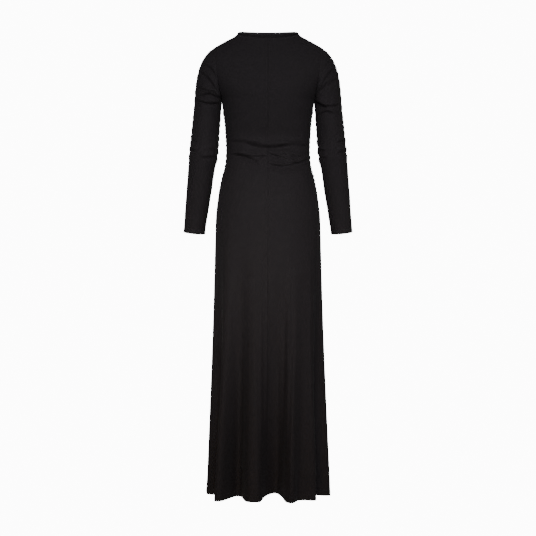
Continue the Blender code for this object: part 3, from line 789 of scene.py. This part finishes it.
def gather_push(turn, z_side, in_front):
    """How far the gathers of both side seams push the cloth out, by each row's height at its side."""
    pushed = np.zeros(turn.shape)
    wander = PUCKER_WANDER * np.sin(z_side * PUCKER_WANDERS)
    puckers = PUCKER * np.sin(2 * np.pi * z_side / PUCKER_LENGTH + wander)
    puckers = puckers * share(z_side, *PUCKERS_FOOT) * share(z_side, *PUCKERS_HEAD)
    for side, from_side in (("left", turn - 90), ("right", 270 - turn)):
        zs, outs = ridges(GATHERS["z_" + side], GATHERS["out_" + side], GATHER_ABOVE, GATHER_BELOW)
        ridge = GATHER_RISE * smooth(z_side, zs, outs)
        if in_front:
            reach = smooth(z_side, GATHERS["z_" + side][::-1], GATHERS["reach"][::-1])
            drift = GATHER_DRIFT * np.sin(z_side * 95 + 1.3) * share(from_side, *DRIFT_TURNS)
            pushed += ridge * bell(from_side, reach) * (1 + drift)
        else:
            pushed += ridge * bell(from_side, GATHER_BEHIND)
        pushed += puckers * np.exp(-np.abs(from_side) / PUCKER_FADE["front" if in_front else "back"])
    return pushed


def panel(first, last, strength):
    """The outer face of a body piece as a grid of points, with its gathers and creases."""
    rows = body_rows()
    index, t = panel_columns(first, last)
    lines, _ = flute_lines(rows["side"])
    at_hem, _ = flute_lines(HEM_Z)
    lines = lines[:, (at_hem > first) & (at_hem < last)]
    edge = np.ones((len(lines), 1))
    lines = np.concatenate([edge * first, lines, edge * last], axis=1)
    turn = lines[:, index] + (lines[:, index + 1] - lines[:, index]) * t
    in_front = first == 90
    mirrored = turn > 180
    from_back = np.where(mirrored, 360 - turn, turn)
    beyond = 180 - from_back if in_front else from_back
    to_side = np.sin(np.radians(beyond)) ** 2
    if in_front:
        to_side += (np.exp(-(90 - beyond) / NECK_CURVE_TURN) - to_side) * rows["neck"][:, None]
    side = np.repeat(rows["side"][:, None], turn.shape[1], axis=1)
    centre = rows["front" if in_front else "back"][:, None]
    z = centre + (side - centre) * to_side
    at_arm = ~np.isnan(rows["angle"])
    angle = rows["angle"][at_arm]
    limit = np.full(len(side), 90.0)
    limit[at_arm] = 180 - armhole_place(-angle)[0] if in_front else armhole_place(angle)[0]
    held = np.where(at_arm[:, None], share(beyond, 90, CREASES_FROM_ARMHOLE), 1.0)
    beyond = beyond * (limit / 90)[:, None]
    from_back = 180 - beyond if in_front else beyond
    turn = np.where(mirrored, 360 - from_back, from_back)
    plain, _ = ring(turn, z)
    creases = crease_depth(plain[..., 0], z, FRONT_CREASES if in_front else BACK_CREASES, strength)
    return body(turn, z, gather_push(turn, side, in_front) + creases * held)


def sleeve(side, strength):
    """The outer face of a left sleeve, in rings from armhole to cuff, with that side's folds."""
    angles = np.arange(SLEEVE_COLUMNS) * 360 / SLEEVE_COLUMNS
    along = np.concatenate([[0, 0.006, 0.014, 0.026, 0.042], np.linspace(0.06, 1, CAP_ROWS)])
    angle, t = np.meshgrid(angles, along)
    upper = cap(angle, t)
    above_cuff = np.array([0.030, 0.022, 0.0175, 0.0145, 0.0125, 0.011, 0.007, 0.003, 0.001, 0])
    arm = np.arange(SQUARE_Z - SLEEVE_STEP, ELBOW_Z, -SLEEVE_STEP)
    forearm = np.linspace(FOREARM_TOP, CUFF_Z + FOREARM_ENDS, FOREARM_ROWS)
    arm = np.concatenate([arm, forearm, CUFF_Z + above_cuff])
    lower, _, _ = sleeve_ring(*np.meshgrid(angles, arm))
    points = np.concatenate([upper, lower])
    outer_z = points[:, 0, 2][:, None]
    in_front = (1 - np.sin(np.radians(angles))) / 2
    top = (1 + np.cos(np.radians(angles))) / 2
    share_here = 0.04 + 0.96 * eased(share(in_front, *GATHERED_FRONT))
    share_here = share_here * np.where(outer_z > SQUARE_Z, top**CAP_ROUNDNESS, 1.0)
    heights, outs = SLEEVE_GATHERS["z_" + side], SLEEVE_GATHERS["out_" + side]
    zs, outs = ridges(heights, outs, SLEEVE_GATHER_ABOVE, SLEEVE_GATHER_BELOW)
    wander = SLEEVE_WANDER * np.sin(np.radians(angles * 2 + 40))
    wander = wander * share(outer_z, SHOULDER_TIP_Z, SLEEVE_PUCKERS_HEAD[1])
    pushed = GATHER_RISE * smooth(outer_z + wander, zs, outs) * share_here
    pucker = SLEEVE_PUCKER_WANDER * np.sin(outer_z * SLEEVE_PUCKER_WANDERS)
    pucker = np.sin(2 * np.pi * outer_z / SLEEVE_PUCKER_LENGTH + pucker)
    active = share(outer_z, *SLEEVE_PUCKERS_FOOT) * share(outer_z, *SLEEVE_PUCKERS_HEAD)
    pushed = pushed + PUCKER * pucker * active * bell(angles - PUCKERED_ANGLE, PUCKERED_REACH) * share_here
    out = grid_out(points[:, ::-1], True)[:, ::-1]
    ease = np.sin(np.radians(angles * EASE_WAVES)) * (top > EASE_DOWN_TO)
    pushed = pushed + EASE * (ease * bell(run(points, 0) - EASE_REACH, EASE_REACH))
    other = "right" if side == "left" else "left"
    for shown, creases, down in ((1, side, 0.0), (-1, other, FRONT_CREASES_LOWER)):
        facing = share(shown * out[..., 1], *CREASED_FACE)
        if shown < 0:
            facing = facing * FRONT_CREASES_SHARE
        x, z = points[..., 0], points[..., 2] + down
        pushed = pushed + facing * crease_depth(x, z, SLEEVE_CREASES[creases], strength)
    held = share(run(points, 0), 0.0, HELD_BY_ARMHOLE)
    return points + out * ((pushed + FULLNESS) * held)[..., None]


# --- meshes


def add_object(name, data, material=None):
    """Put an object in the scene, in its material if it has one."""
    if material:
        data.materials.append(material)
    made = bpy.data.objects.new(name, data)
    bpy.context.scene.collection.objects.link(made)
    return made


def closed(line):
    """A line brought back to its first point."""
    return np.concatenate([line, line[:1]])


def quads(*corners):
    return np.stack(corners, -1).reshape(-1, 4)


def shell(name, outer, out, thickness, material, uv, edge, round_it=False):
    """A thin cloth shell inside a grid of outer points, closed at its edges, for the solid it names."""
    rows, count = outer.shape[:2]
    thickness = np.broadcast_to(thickness, outer.shape[:2])[..., None]
    points = np.concatenate([outer.reshape(-1, 3), (outer - out * thickness).reshape(-1, 3)])
    cells = np.arange(rows * count).reshape(rows, count)
    right = np.roll(cells, -1, axis=1) if round_it else cells[:, 1:]
    left = cells if round_it else cells[:, :-1]
    a, b, d, e = left[:-1], right[:-1], right[1:], left[1:]
    below = rows * count
    faces = [quads(a, b, d, e), below + quads(a, e, d, b)]
    faces.append(quads(right[0], left[0], below + left[0], below + right[0]))
    faces.append(quads(left[-1], right[-1], below + right[-1], below + left[-1]))
    if not round_it:
        for top, foot in ((cells[:-1, 0], cells[1:, 0]), (cells[1:, -1], cells[:-1, -1])):
            faces.append(quads(top, foot, below + foot, below + top))
    mesh = bpy.data.meshes.new("cloth_" + name)
    mesh.from_pydata(points.tolist(), [], np.concatenate(faces).tolist())
    layer = mesh.uv_layers.new(name="cloth")
    at = np.empty(len(mesh.loops), dtype=np.int32)
    mesh.loops.foreach_get("vertex_index", at)
    layer.data.foreach_set("uv", np.concatenate([uv.reshape(-1, 2)] * 2)[at].ravel().astype(np.float32))
    # The edge mask: above zero, wear that lightens the edges; below zero, painted shade that darkens the
    # seams.
    mask = mesh.attributes.new("edge", "FLOAT", "POINT")
    mask.data.foreach_set("value", np.concatenate([edge.ravel()] * 2).astype(np.float32))
    mesh.update()
    mesh.shade_smooth()
    mesh.set_sharp_from_angle(angle=math.radians(SHARP_TURN))
    piece = add_object("cloth_" + name, mesh, material)
    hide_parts(name)
    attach(piece, "root")
    return piece


def hem_relief(from_edge, band):
    """A turned hem: double cloth up to its stitching, which pulls in."""
    turned = HEM_RISE * share(from_edge, band + HEM_STEP, band)
    return turned - STITCH_PULL * bell(from_edge - band, HEM_ROLL) - EDGE_FALL * bell(from_edge, HEM_ROLL)


def seam_relief(distance):
    """The low ridges that the seam's allowances raise beside it, nothing at the seam itself."""
    return ALLOWANCE_RISE * eased(share(distance, *ALLOWANCE_NEAR)) * share(distance, *ALLOWANCE_FAR)


def seam_line(distance):
    """How much the cloth sinks in beside a plain seam."""
    return -SEAM_SINK * bell(distance, SEAM_REACH)


def line_at(points, out, from_edge, distance):
    """A line across a grid at a distance from an edge, with the way out along it."""
    order = np.argsort(from_edge, axis=0)[:40] if from_edge[0].mean() < from_edge[-1].mean() else None
    places, outs = [], []
    for c in range(points.shape[1]):
        column = from_edge[:, c]
        rows = order[:, c] if order is not None else np.arange(len(column) - 1, len(column) - 20, -1)
        t = np.interp(distance, column[rows], rows.astype(float))
        r = min(int(t), len(column) - 2)
        places.append(points[r, c] + (points[r + 1, c] - points[r, c]) * (t - r))
        outs.append(out[r, c] + (out[r + 1, c] - out[r, c]) * (t - r))
    return np.array(places), unit(np.array(outs))


def stitches(name, line, out, sizes, material, round_it=False):
    """A row of thread stitches along a line on the cloth, each a small rounded stroke."""
    if round_it:
        line, out = closed(line), closed(out)
    reached = np.concatenate([[0], np.cumsum(np.linalg.norm(np.diff(line, axis=0), axis=1))])
    count = int(reached[-1] / sizes.stitch_length)
    stroke = sizes.stitch_length * STROKE_SHARE
    start = (np.arange(count) + 0.5) * reached[-1] / count - stroke / 2
    along = np.array([0.0, 0.12, 0.5, 0.88, 1.0])
    width = np.array([0.35, 0.9, 1.0, 0.9, 0.35]) * THREAD / 2
    sink = np.array([-0.5, 0.1, 0.35, 0.1, -0.5]) * THREAD / 2
    places = start[:, None] + stroke * along
    centre = np.stack([np.interp(places, reached, line[:, i]) for i in range(3)], -1)
    up = unit(np.stack([np.interp(places, reached, out[:, i]) for i in range(3)], -1))
    ahead = unit(np.gradient(centre, axis=1))
    side = unit(np.cross(up, ahead))
    turns = np.radians(np.arange(0, 360, 60))
    spread = side[:, :, None] * np.cos(turns)[:, None] + up[:, :, None] * np.sin(turns)[:, None]
    points = centre[:, :, None] + up[:, :, None] * sink[:, None, None] + spread * width[:, None, None]
    cells = np.arange(points.size // 3).reshape(count, len(along), len(turns))
    after = np.roll(cells, -1, axis=2)
    faces = quads(cells[:, :-1], after[:, :-1], after[:, 1:], cells[:, 1:])
    ends = np.concatenate([cells[:, 0, ::-1], cells[:, -1]])
    mesh = bpy.data.meshes.new(name)
    mesh.from_pydata(points.reshape(-1, 3).tolist(), [], faces.tolist() + ends.tolist())
    mesh.update()
    mesh.shade_smooth()
    return add_object(name, mesh, material)


# --- materials


def fill(node, values):
    """Set a node's sockets, each to a value or to another node's output."""
    for name, value in values.items():
        if isinstance(value, bpy.types.NodeSocket):
            node.id_data.links.new(value, node.inputs[name])
        else:
            node.inputs[name].default_value = value
    return node


def add_node(tree, kind, values=(), **chosen):
    """A shader node with its settings and its sockets' values."""
    node = tree.nodes.new("ShaderNode" + kind)
    for name, value in chosen.items():
        setattr(node, name, value)
    return fill(node, dict(values))


def math_node(tree, operation, *values):
    return add_node(tree, "Math", enumerate(values), operation=operation).outputs[0]


def noise_node(tree, place, scale, detail=2.0):
    values = {"Vector": place, "Scale": scale, "Detail": detail}
    return add_node(tree, "TexNoise", values).outputs["Fac"]


def object_place(tree):
    return add_node(tree, "TexCoord").outputs["Object"]


def new_group(name, inputs, outputs):
    """A node group with its sockets, and its two end nodes."""
    tree = bpy.data.node_groups.new(name, "ShaderNodeTree")
    for label in (*inputs, *outputs):
        side = "INPUT" if label in inputs else "OUTPUT"
        made = tree.interface.new_socket(name=label, in_out=side, socket_type="NodeSocketFloat")
        made.default_value = inputs.get(label, 0.0)
    return tree, tree.nodes.new("NodeGroupInput"), tree.nodes.new("NodeGroupOutput")


def knit_group():
    """Grain of a plain jersey: columns of stitches, each stitch a pair of leaning legs."""
    if "Knit grain" in bpy.data.node_groups:
        return bpy.data.node_groups["Knit grain"]
    tree, given, put = new_group("Knit grain", {"Wale": WALE, "Fuzz": 0.35}, ("Height", "Tone"))
    do = partial(math_node, tree)
    place = add_node(tree, "UVMap", uv_map="cloth").outputs["UV"]
    apart = add_node(tree, "SeparateXYZ", {0: place})
    across = do("DIVIDE", apart.outputs["X"], given.outputs["Wale"])
    down = do("DIVIDE", apart.outputs["Y"], given.outputs["Wale"])
    half = do("ABSOLUTE", do("SUBTRACT", do("FRACT", across), 0.5))
    wale = do("COSINE", do("MULTIPLY", half, math.pi))
    leaning = do("ADD", do("MULTIPLY", down, COURSES_TO_WALES), do("MULTIPLY", half, LEG_LEAN))
    leg = do("SINE", do("MULTIPLY", leaning, 2 * math.pi))
    stitch = do("MULTIPLY", wale, do("MULTIPLY_ADD", leg, 0.25, 0.75))
    loose = do("MULTIPLY", noise_node(tree, place, FUZZ_SCALE, 3.0), given.outputs["Fuzz"])
    tone = do("MULTIPLY_ADD", stitch, 0.3, 0.8)
    fill(put, {"Height": do("ADD", stitch, loose), "Tone": tone})
    return tree


def dye_wear_and_shade_group():
    """Slow variation of dye and wear over a cloth or thread, about 1, with painted shade that darkens it
    along the seams.
    """
    if "Dye variation" in bpy.data.node_groups:
        return bpy.data.node_groups["Dye variation"]
    inputs = {"Amount": 0.12, "Wear and painted shade": 0.25}
    tree, given, put = new_group("Dye variation", inputs, ("Tone", "Roughness shift"))
    do = partial(math_node, tree)
    place = object_place(tree)
    broad, fine = noise_node(tree, place, BROAD_DYE, 4.0), noise_node(tree, place, FINE_DYE, 3.0)
    swing = do("SUBTRACT", do("MULTIPLY_ADD", fine, 0.6, broad), 0.8)
    swing = do("MULTIPLY", swing, given.outputs["Amount"])
    edge = add_node(tree, "Attribute", attribute_name="edge")
    # Where the edge mask is below zero this darkens the tone: painted shade along the seams.
    wear_and_painted_shade = do("MULTIPLY", edge.outputs["Fac"], given.outputs["Wear and painted shade"])
    tone = do("ADD", do("MULTIPLY_ADD", swing, 2.0, 1.0), wear_and_painted_shade)
    shift = do("MULTIPLY", do("SUBTRACT", broad, 0.5), 0.16)
    shift = do("SUBTRACT", shift, do("MULTIPLY", wear_and_painted_shade, 0.15))
    fill(put, {"Tone": tone, "Roughness shift": shift})
    return tree


def new_material(name):
    """A material, its node tree and its shader."""
    material = bpy.data.materials.new(name)
    material.use_nodes = True
    return material, material.node_tree, material.node_tree.nodes["Principled BSDF"]


def toned(tree, colour, tone):
    """A colour times a tone."""
    return add_node(tree, "VectorMath", {0: colour, "Scale": tone}, operation="SCALE").outputs[0]


def relief(tree, height, strength, distance):
    """A normal with a fine relief."""
    values = {"Strength": strength, "Distance": distance, "Height": height}
    return add_node(tree, "Bump", values).outputs["Normal"]


def cloth_material(name, colour, looks, wale=WALE):
    """Matt jersey with a soft sheen, in a colour that varies a little with its dye, grain and wear, and
    darkens along its seams with painted shade.
    """
    if name in bpy.data.materials:
        return bpy.data.materials[name]
    material, tree, shader = new_material(name)
    knit = add_node(tree, "Group", {"Wale": wale}, node_tree=knit_group())
    dye = add_node(tree, "Group", {"Amount": looks.dye_variation}, node_tree=dye_wear_and_shade_group())
    tone = math_node(tree, "MULTIPLY", dye.outputs["Tone"], knit.outputs["Tone"])
    values = {
        "Base Color": toned(tree, colour, tone),
        "Roughness": math_node(tree, "ADD", dye.outputs["Roughness shift"], looks.roughness),
        "Normal": relief(tree, knit.outputs["Height"], looks.grain_strength, KNIT_RELIEF),
        "Specular IOR Level": 0.05,
        "Sheen Weight": looks.sheen,
        "Sheen Roughness": 0.45,
        "Sheen Tint": (*looks.sheen_tint, 1.0),
    }
    fill(shader, values)
    return material


def thread_material(looks):
    """Dull polyester thread, twisted."""
    if "Dress thread" in bpy.data.materials:
        return bpy.data.materials["Dress thread"]
    material, tree, shader = new_material("Dress thread")
    values = {"Amount": looks.dye_variation, "Wear and painted shade": 0.0}
    dye = add_node(tree, "Group", values, node_tree=dye_wear_and_shade_group())
    twist = noise_node(tree, object_place(tree), TWIST_SCALE)
    values = {
        "Base Color": toned(tree, looks.thread, dye.outputs["Tone"]),
        "Roughness": math_node(tree, "ADD", dye.outputs["Roughness shift"], 0.5),
        "Normal": relief(tree, twist, 0.4, TWIST_RELIEF),
        "Specular IOR Level": 0.35,
    }
    fill(shader, values)
    return material


def floor_material(looks):
    """Smooth pale studio paper."""
    material, tree, shader = new_material("Studio paper")
    grain = noise_node(tree, object_place(tree), 30.0)
    tone = math_node(tree, "MULTIPLY_ADD", grain, 0.02, 0.99)
    fill(shader, {"Base Color": toned(tree, looks.floor, tone), "Roughness": 0.9})
    return material


# --- settings


def length(name, about, default, low, high):
    return FloatProperty(
        name=name, description=about, default=default, min=low, max=high, subtype="DISTANCE"
    )


def amount(name, about, default, low, high):
    return FloatProperty(name=name, description=about, default=default, min=low, max=high)


def tint(name, about, default):
    return FloatVectorProperty(name=name, description=about, default=default, subtype="COLOR", size=3)


class DressSizes(bpy.types.PropertyGroup):
    """Sizes of the cloth, its hems and its creases."""

    cloth: length("Cloth", "Thickness of the jersey", 0.0009, 0.0004, 0.0015)
    hem_band: length("Hem", "Depth of the turned hem", 0.0165, 0.01, 0.03)
    cuff_band: length("Cuff hem", "Depth of the turned cuffs", 0.0125, 0.01, 0.02)
    neck_band: length("Neck stitching", "Distance of the stitching from the neck", 0.0060, 0.003, 0.008)
    stitch_length: length("Stitch", "Length of one stitch", 0.0028, 0.0015, 0.005)
    twin_gap: length("Twin gap", "Distance between twin rows", 0.0030, 0.0015, 0.006)
    creases: amount("Creases", "Depth of the creases against those designed", 1.0, 0.0, 1.5)
    unevenness: amount("Unevenness", "Slow waves of the cloth against those designed", 0.5, 0.0, 2.0)
    floor_drop: length("Floor drop", "Height of the hem above the floor", 0.35, 0.05, 1.0)


class DressLooks(bpy.types.PropertyGroup):
    """Colours and finish of the cloth, thread and studio."""

    jersey: tint("Jersey", "Colour of the jersey", (0.0089, 0.0078, 0.0084))
    # The facing is the same jersey painted lighter: painted light for the light that falls on the inside
    # of the front neck.
    facing: tint("Facing", "Colour of the neck facing", (0.016, 0.0154, 0.0150))
    thread: tint("Thread", "Colour of the stitching", (0.012, 0.0115, 0.012))
    sheen_tint: tint("Sheen", "Colour of the jersey's soft sheen", (0.80, 0.78, 0.80))
    floor: tint("Floor", "Colour of the studio floor", (0.86, 0.86, 0.86))
    roughness: amount("Roughness", "Roughness of the jersey", 0.72, 0.3, 1.0)
    sheen: amount("Sheen amount", "Strength of the sheen", 0.02, 0.0, 0.5)
    grain_strength: amount("Grain", "Strength of the knit's relief", 0.35, 0.0, 1.0)
    dye_variation: amount("Dye variation", "How much the dye varies", 0.05, 0.0, 0.5)


# --- making the pieces


def settings(context):
    return context.scene.dress_sizes, context.scene.dress_looks


def settled_panel(first, last, sizes):
    """A body piece's outer face with its edges' and seams' reliefs, and its distances from them."""
    points = panel(first, last, sizes.creases)
    seams = distance_from(points, points[:, 0], points[:, -1])
    hem = distance_from(points, points[-1])
    neck = distance_from(points, points[0])
    out = grid_out(points)
    edges = hem_relief(hem, sizes.hem_band) + hem_relief(neck, sizes.neck_band)
    x, z = points[..., 0], points[..., 2]
    off_armhole = share(np.abs(x), *ARMHOLE_SIDE) + share(z, *ARMHOLE_FOOT) + share(z, *ARMHOLE_HEAD)
    sunk = seam_line(seams) * np.clip(off_armhole, 0, 1)
    waves = slow_waves(x, z, first / PHASE_TURN) * share(seams, 0.0, WAVE_FADE)
    calm = share(z, NECK_BACK_Z, UNEVEN_BELOW)
    edges = edges * share(seams, 0.0, SEAM_FADE)
    shift = seam_relief(seams) + edges + sunk + sizes.unevenness * waves * calm
    points = points + out * shift[..., None]
    return points, grid_out(points), seams, hem, neck


def cloth_uv(points, column):
    """Places on the flat cloth, measured from the grain line that a column of the grid follows."""
    across = run(points, 1)
    return np.stack([across - across[:, column][:, None], run(points, 0)], axis=-1)


def make_piece(name, points, out, from_hem, band, uv, edge, rows, sizes, looks, round_it=False):
    """A piece, doubled at its hem, with its rows of stitches."""
    thickness = sizes.cloth * (1 + HEM_THICKENING * share(from_hem, band + HEM_FEATHER, band))
    material = cloth_material("Black jersey", looks.jersey, looks)
    piece = shell(name, points, out, thickness, material, uv, edge, round_it)
    for label, distance, at in rows:
        line, outs = line_at(points, out, distance, at)
        row = stitches(label, line, outs, sizes, thread_material(looks), round_it)
        row.parent = piece
    return piece


def make_panel(name, first, last, grain, sizes, looks):
    """One body piece with its hem and neck stitching."""
    points, out, seams, hem, neck = settled_panel(first, last, sizes)
    edge = np.maximum(bell(hem, EDGE_WEAR_REACH), NECK_WEAR * bell(neck, NECK_WEAR_REACH))
    # Painted shade: the colour is darkened along the seams, where their grooves lie.
    edge = edge - SEAM_SHADE * bell(seams, SEAM_REACH)
    rows = (
        ("stitch_hem_lower_" + name, hem, sizes.hem_band),
        ("stitch_hem_upper_" + name, hem, sizes.hem_band + sizes.twin_gap),
        ("stitch_neck_" + name, neck, sizes.neck_band),
    )
    uv = cloth_uv(points, grain)
    return make_piece(name, points, out, hem, sizes.hem_band, uv, edge, rows, sizes, looks)


def make_sleeve(side, sizes, looks):
    """One sleeve with its cuff stitching."""
    points = sleeve(side, sizes.creases)
    if side == "right":
        points[..., 0] *= -1
    else:
        points = points[:, ::-1]
    out = grid_out(points, True)
    seam, cuff = (distance_from(points, closed(points[row])) for row in (0, -1))
    under = distance_from(points, points[:, INNER_COLUMN[side]])
    raised = seam_relief(seam) + hem_relief(cuff, sizes.cuff_band) + SLEEVE_SHARE * seam_line(under)
    waves = slow_waves(points[..., 0] * 2, points[..., 2], SLEEVE_PHASE[side])
    shift = raised + SLEEVE_SHARE * sizes.unevenness * waves * share(points[..., 2], *SLEEVE_UNEVEN)
    points = points + out * (shift * share(seam, 0.0, SEAM_FADE))[..., None]
    out = grid_out(points, True)
    # Painted shade: the colour is darkened along the armhole and the underarm seam.
    shaded = bell(seam, ARMHOLE_SHADE_REACH) + bell(under, UNDER_SHADE_REACH)
    edge = bell(cuff, EDGE_WEAR_REACH) - SEAM_SHADE * shaded
    rows = (
        ("stitch_cuff_lower_" + side, cuff, sizes.cuff_band),
        ("stitch_cuff_upper_" + side, cuff, sizes.cuff_band + sizes.twin_gap),
    )
    name, uv = "sleeve_" + side, cloth_uv(points, OUTER_COLUMN[side])
    return make_piece(name, points, out, cuff, sizes.cuff_band, uv, edge, rows, sizes, looks, True)


class DRESS_OT_back(bpy.types.Operator):
    """Make the two halves of the back, sewn down the centre"""

    bl_idname = "dress.back"
    bl_label = "Back"

    def execute(self, context):
        sizes, looks = settings(context)
        left = make_panel("back_left", 0, 90, 0, sizes, looks)
        right = make_panel("back_right", 270, 360, -1, sizes, looks)
        return {"FINISHED"}


class DRESS_OT_front(bpy.types.Operator):
    """Make the front, gathered into both side seams"""

    bl_idname = "dress.front"
    bl_label = "Front"

    def execute(self, context):
        sizes, looks = settings(context)
        index, _ = panel_columns(90, 270)
        piece = make_panel("front", 90, 270, len(index) // 2, sizes, looks)
        return {"FINISHED"}


class DRESS_OT_sleeves(bpy.types.Operator):
    """Make the two set-in sleeves, gathered along their front"""

    bl_idname = "dress.sleeves"
    bl_label = "Sleeves"

    def execute(self, context):
        sizes, looks = settings(context)
        for side in ("left", "right"):
            piece = make_sleeve(side, sizes, looks)
        return {"FINISHED"}


class DRESS_OT_neck_facing(bpy.types.Operator):
    """Make the narrow facing inside the neckline"""

    bl_idname = "dress.neck_facing"
    bl_label = "Neck facing"

    def execute(self, context):
        sizes, looks = settings(context)
        strips = []
        for first, last in ((0, 90), (90, 270), (270, 360)):
            points, out, _, _, _ = settled_panel(first, last, sizes)
            down = run(points, 0)
            strip = []
            for depth in np.linspace(FACING_TOP, FACING_DEPTH, FACING_ROWS):
                line, outs = line_at(points, out, down, depth)
                strip.append((line - outs * (sizes.cloth + HUG))[:-1])
            strips.append(np.array(strip))
        outer = np.concatenate(strips, axis=1)
        depth = run(outer, 0)
        out = grid_out(outer, True)
        # The facing's lighter colour is painted light inside the front neck.
        material = cloth_material("Facing jersey painted lighter", looks.facing, looks, FACING_WALE)
        thickness = FACING_THICKNESS * (1 + FACING_ROLL * np.sin(depth / FACING_DEPTH * math.pi))
        uv = np.stack([run(outer, 1), depth], axis=-1)
        edge = bell(depth, FACING_WEAR_REACH)
        piece = shell("neck_facing", outer, out, thickness, material, uv, edge, True)
        return {"FINISHED"}


class DRESS_OT_studio(bpy.types.Operator):
    """Make the pale floor, the soft studio light and the camera"""

    bl_idname = "dress.studio"
    bl_label = "Studio"

    def execute(self, context):
        sizes, looks = settings(context)
        mesh = bpy.data.meshes.new("studio_floor")
        z = HEM_Z - sizes.floor_drop
        turns = np.radians(range(0, 360, 5))
        rim = [(FLOOR_REACH * math.cos(turn), FLOOR_REACH * math.sin(turn), z) for turn in turns]
        mesh.from_pydata(rim, [], [tuple(range(len(rim)))])
        floor = add_object("studio_floor", mesh, floor_material(looks))
        for name, place, aim, size, power, spread, colour in LIGHTS:
            lamp = bpy.data.lights.new(name, "AREA")
            lamp.shape, lamp.size, lamp.energy = "DISK", size, power
            lamp.spread, lamp.color = math.radians(spread), colour
            light = add_object(name, lamp)
            light.visible_camera = False
            light.location = place
            light.rotation_euler = (Vector(aim) - Vector(place)).to_track_quat("-Z", "Y").to_euler()
        world = bpy.data.worlds.new("Studio air")
        world.use_nodes = True
        air = world.node_tree
        seen = add_node(air, "LightPath").outputs["Is Camera Ray"]
        strength = math_node(air, "MULTIPLY_ADD", seen, SEEN_STRENGTH, WORLD_STRENGTH)
        fill(air.nodes["Background"], {"Color": (1, 1, 1, 1), "Strength": strength})
        context.scene.world = world
        lens = bpy.data.cameras.new("studio_camera")
        lens.sensor_width = SENSOR
        lens.lens = SENSOR * CAMERA_FOCAL / IMAGE_SIZE
        lens.clip_end = 200.0
        camera = add_object("studio_camera", lens)
        camera.location = CAMERA_PLACE
        camera.rotation_euler = Vector((0, 1, 0)).to_track_quat("Z", "Y").to_euler()
        context.scene.camera = camera
        return {"FINISHED"}


class DRESS_PT_panel(bpy.types.Panel):
    """Lists the steps that make the dress, and its settings"""

    bl_label = "Jersey maxi dress"
    bl_idname = "DRESS_PT_panel"
    bl_space_type = "VIEW_3D"
    bl_region_type = "UI"
    bl_category = "Dress"

    def draw(self, context):
        for step in STEPS:
            self.layout.operator("dress." + step)
        for group in settings(context):
            box = self.layout.box()
            for name in group.__annotations__:
                box.prop(group, name)


CLASSES = (
    DressSizes,
    DressLooks,
    DRESS_OT_back,
    DRESS_OT_front,
    DRESS_OT_sleeves,
    DRESS_OT_neck_facing,
    DRESS_OT_studio,
    DRESS_PT_panel,
)
STEPS = ("studio", "back", "front", "sleeves", "neck_facing")


def register():
    for kind in CLASSES:
        bpy.utils.register_class(kind)
    bpy.types.Scene.dress_sizes = PointerProperty(type=DressSizes)
    bpy.types.Scene.dress_looks = PointerProperty(type=DressLooks)


def unregister():
    del bpy.types.Scene.dress_looks
    del bpy.types.Scene.dress_sizes
    for kind in reversed(CLASSES):
        bpy.utils.unregister_class(kind)


def main():
    register()
    for step in STEPS:
        getattr(bpy.ops.dress, step)()


if __name__ == "__main__":
    main()
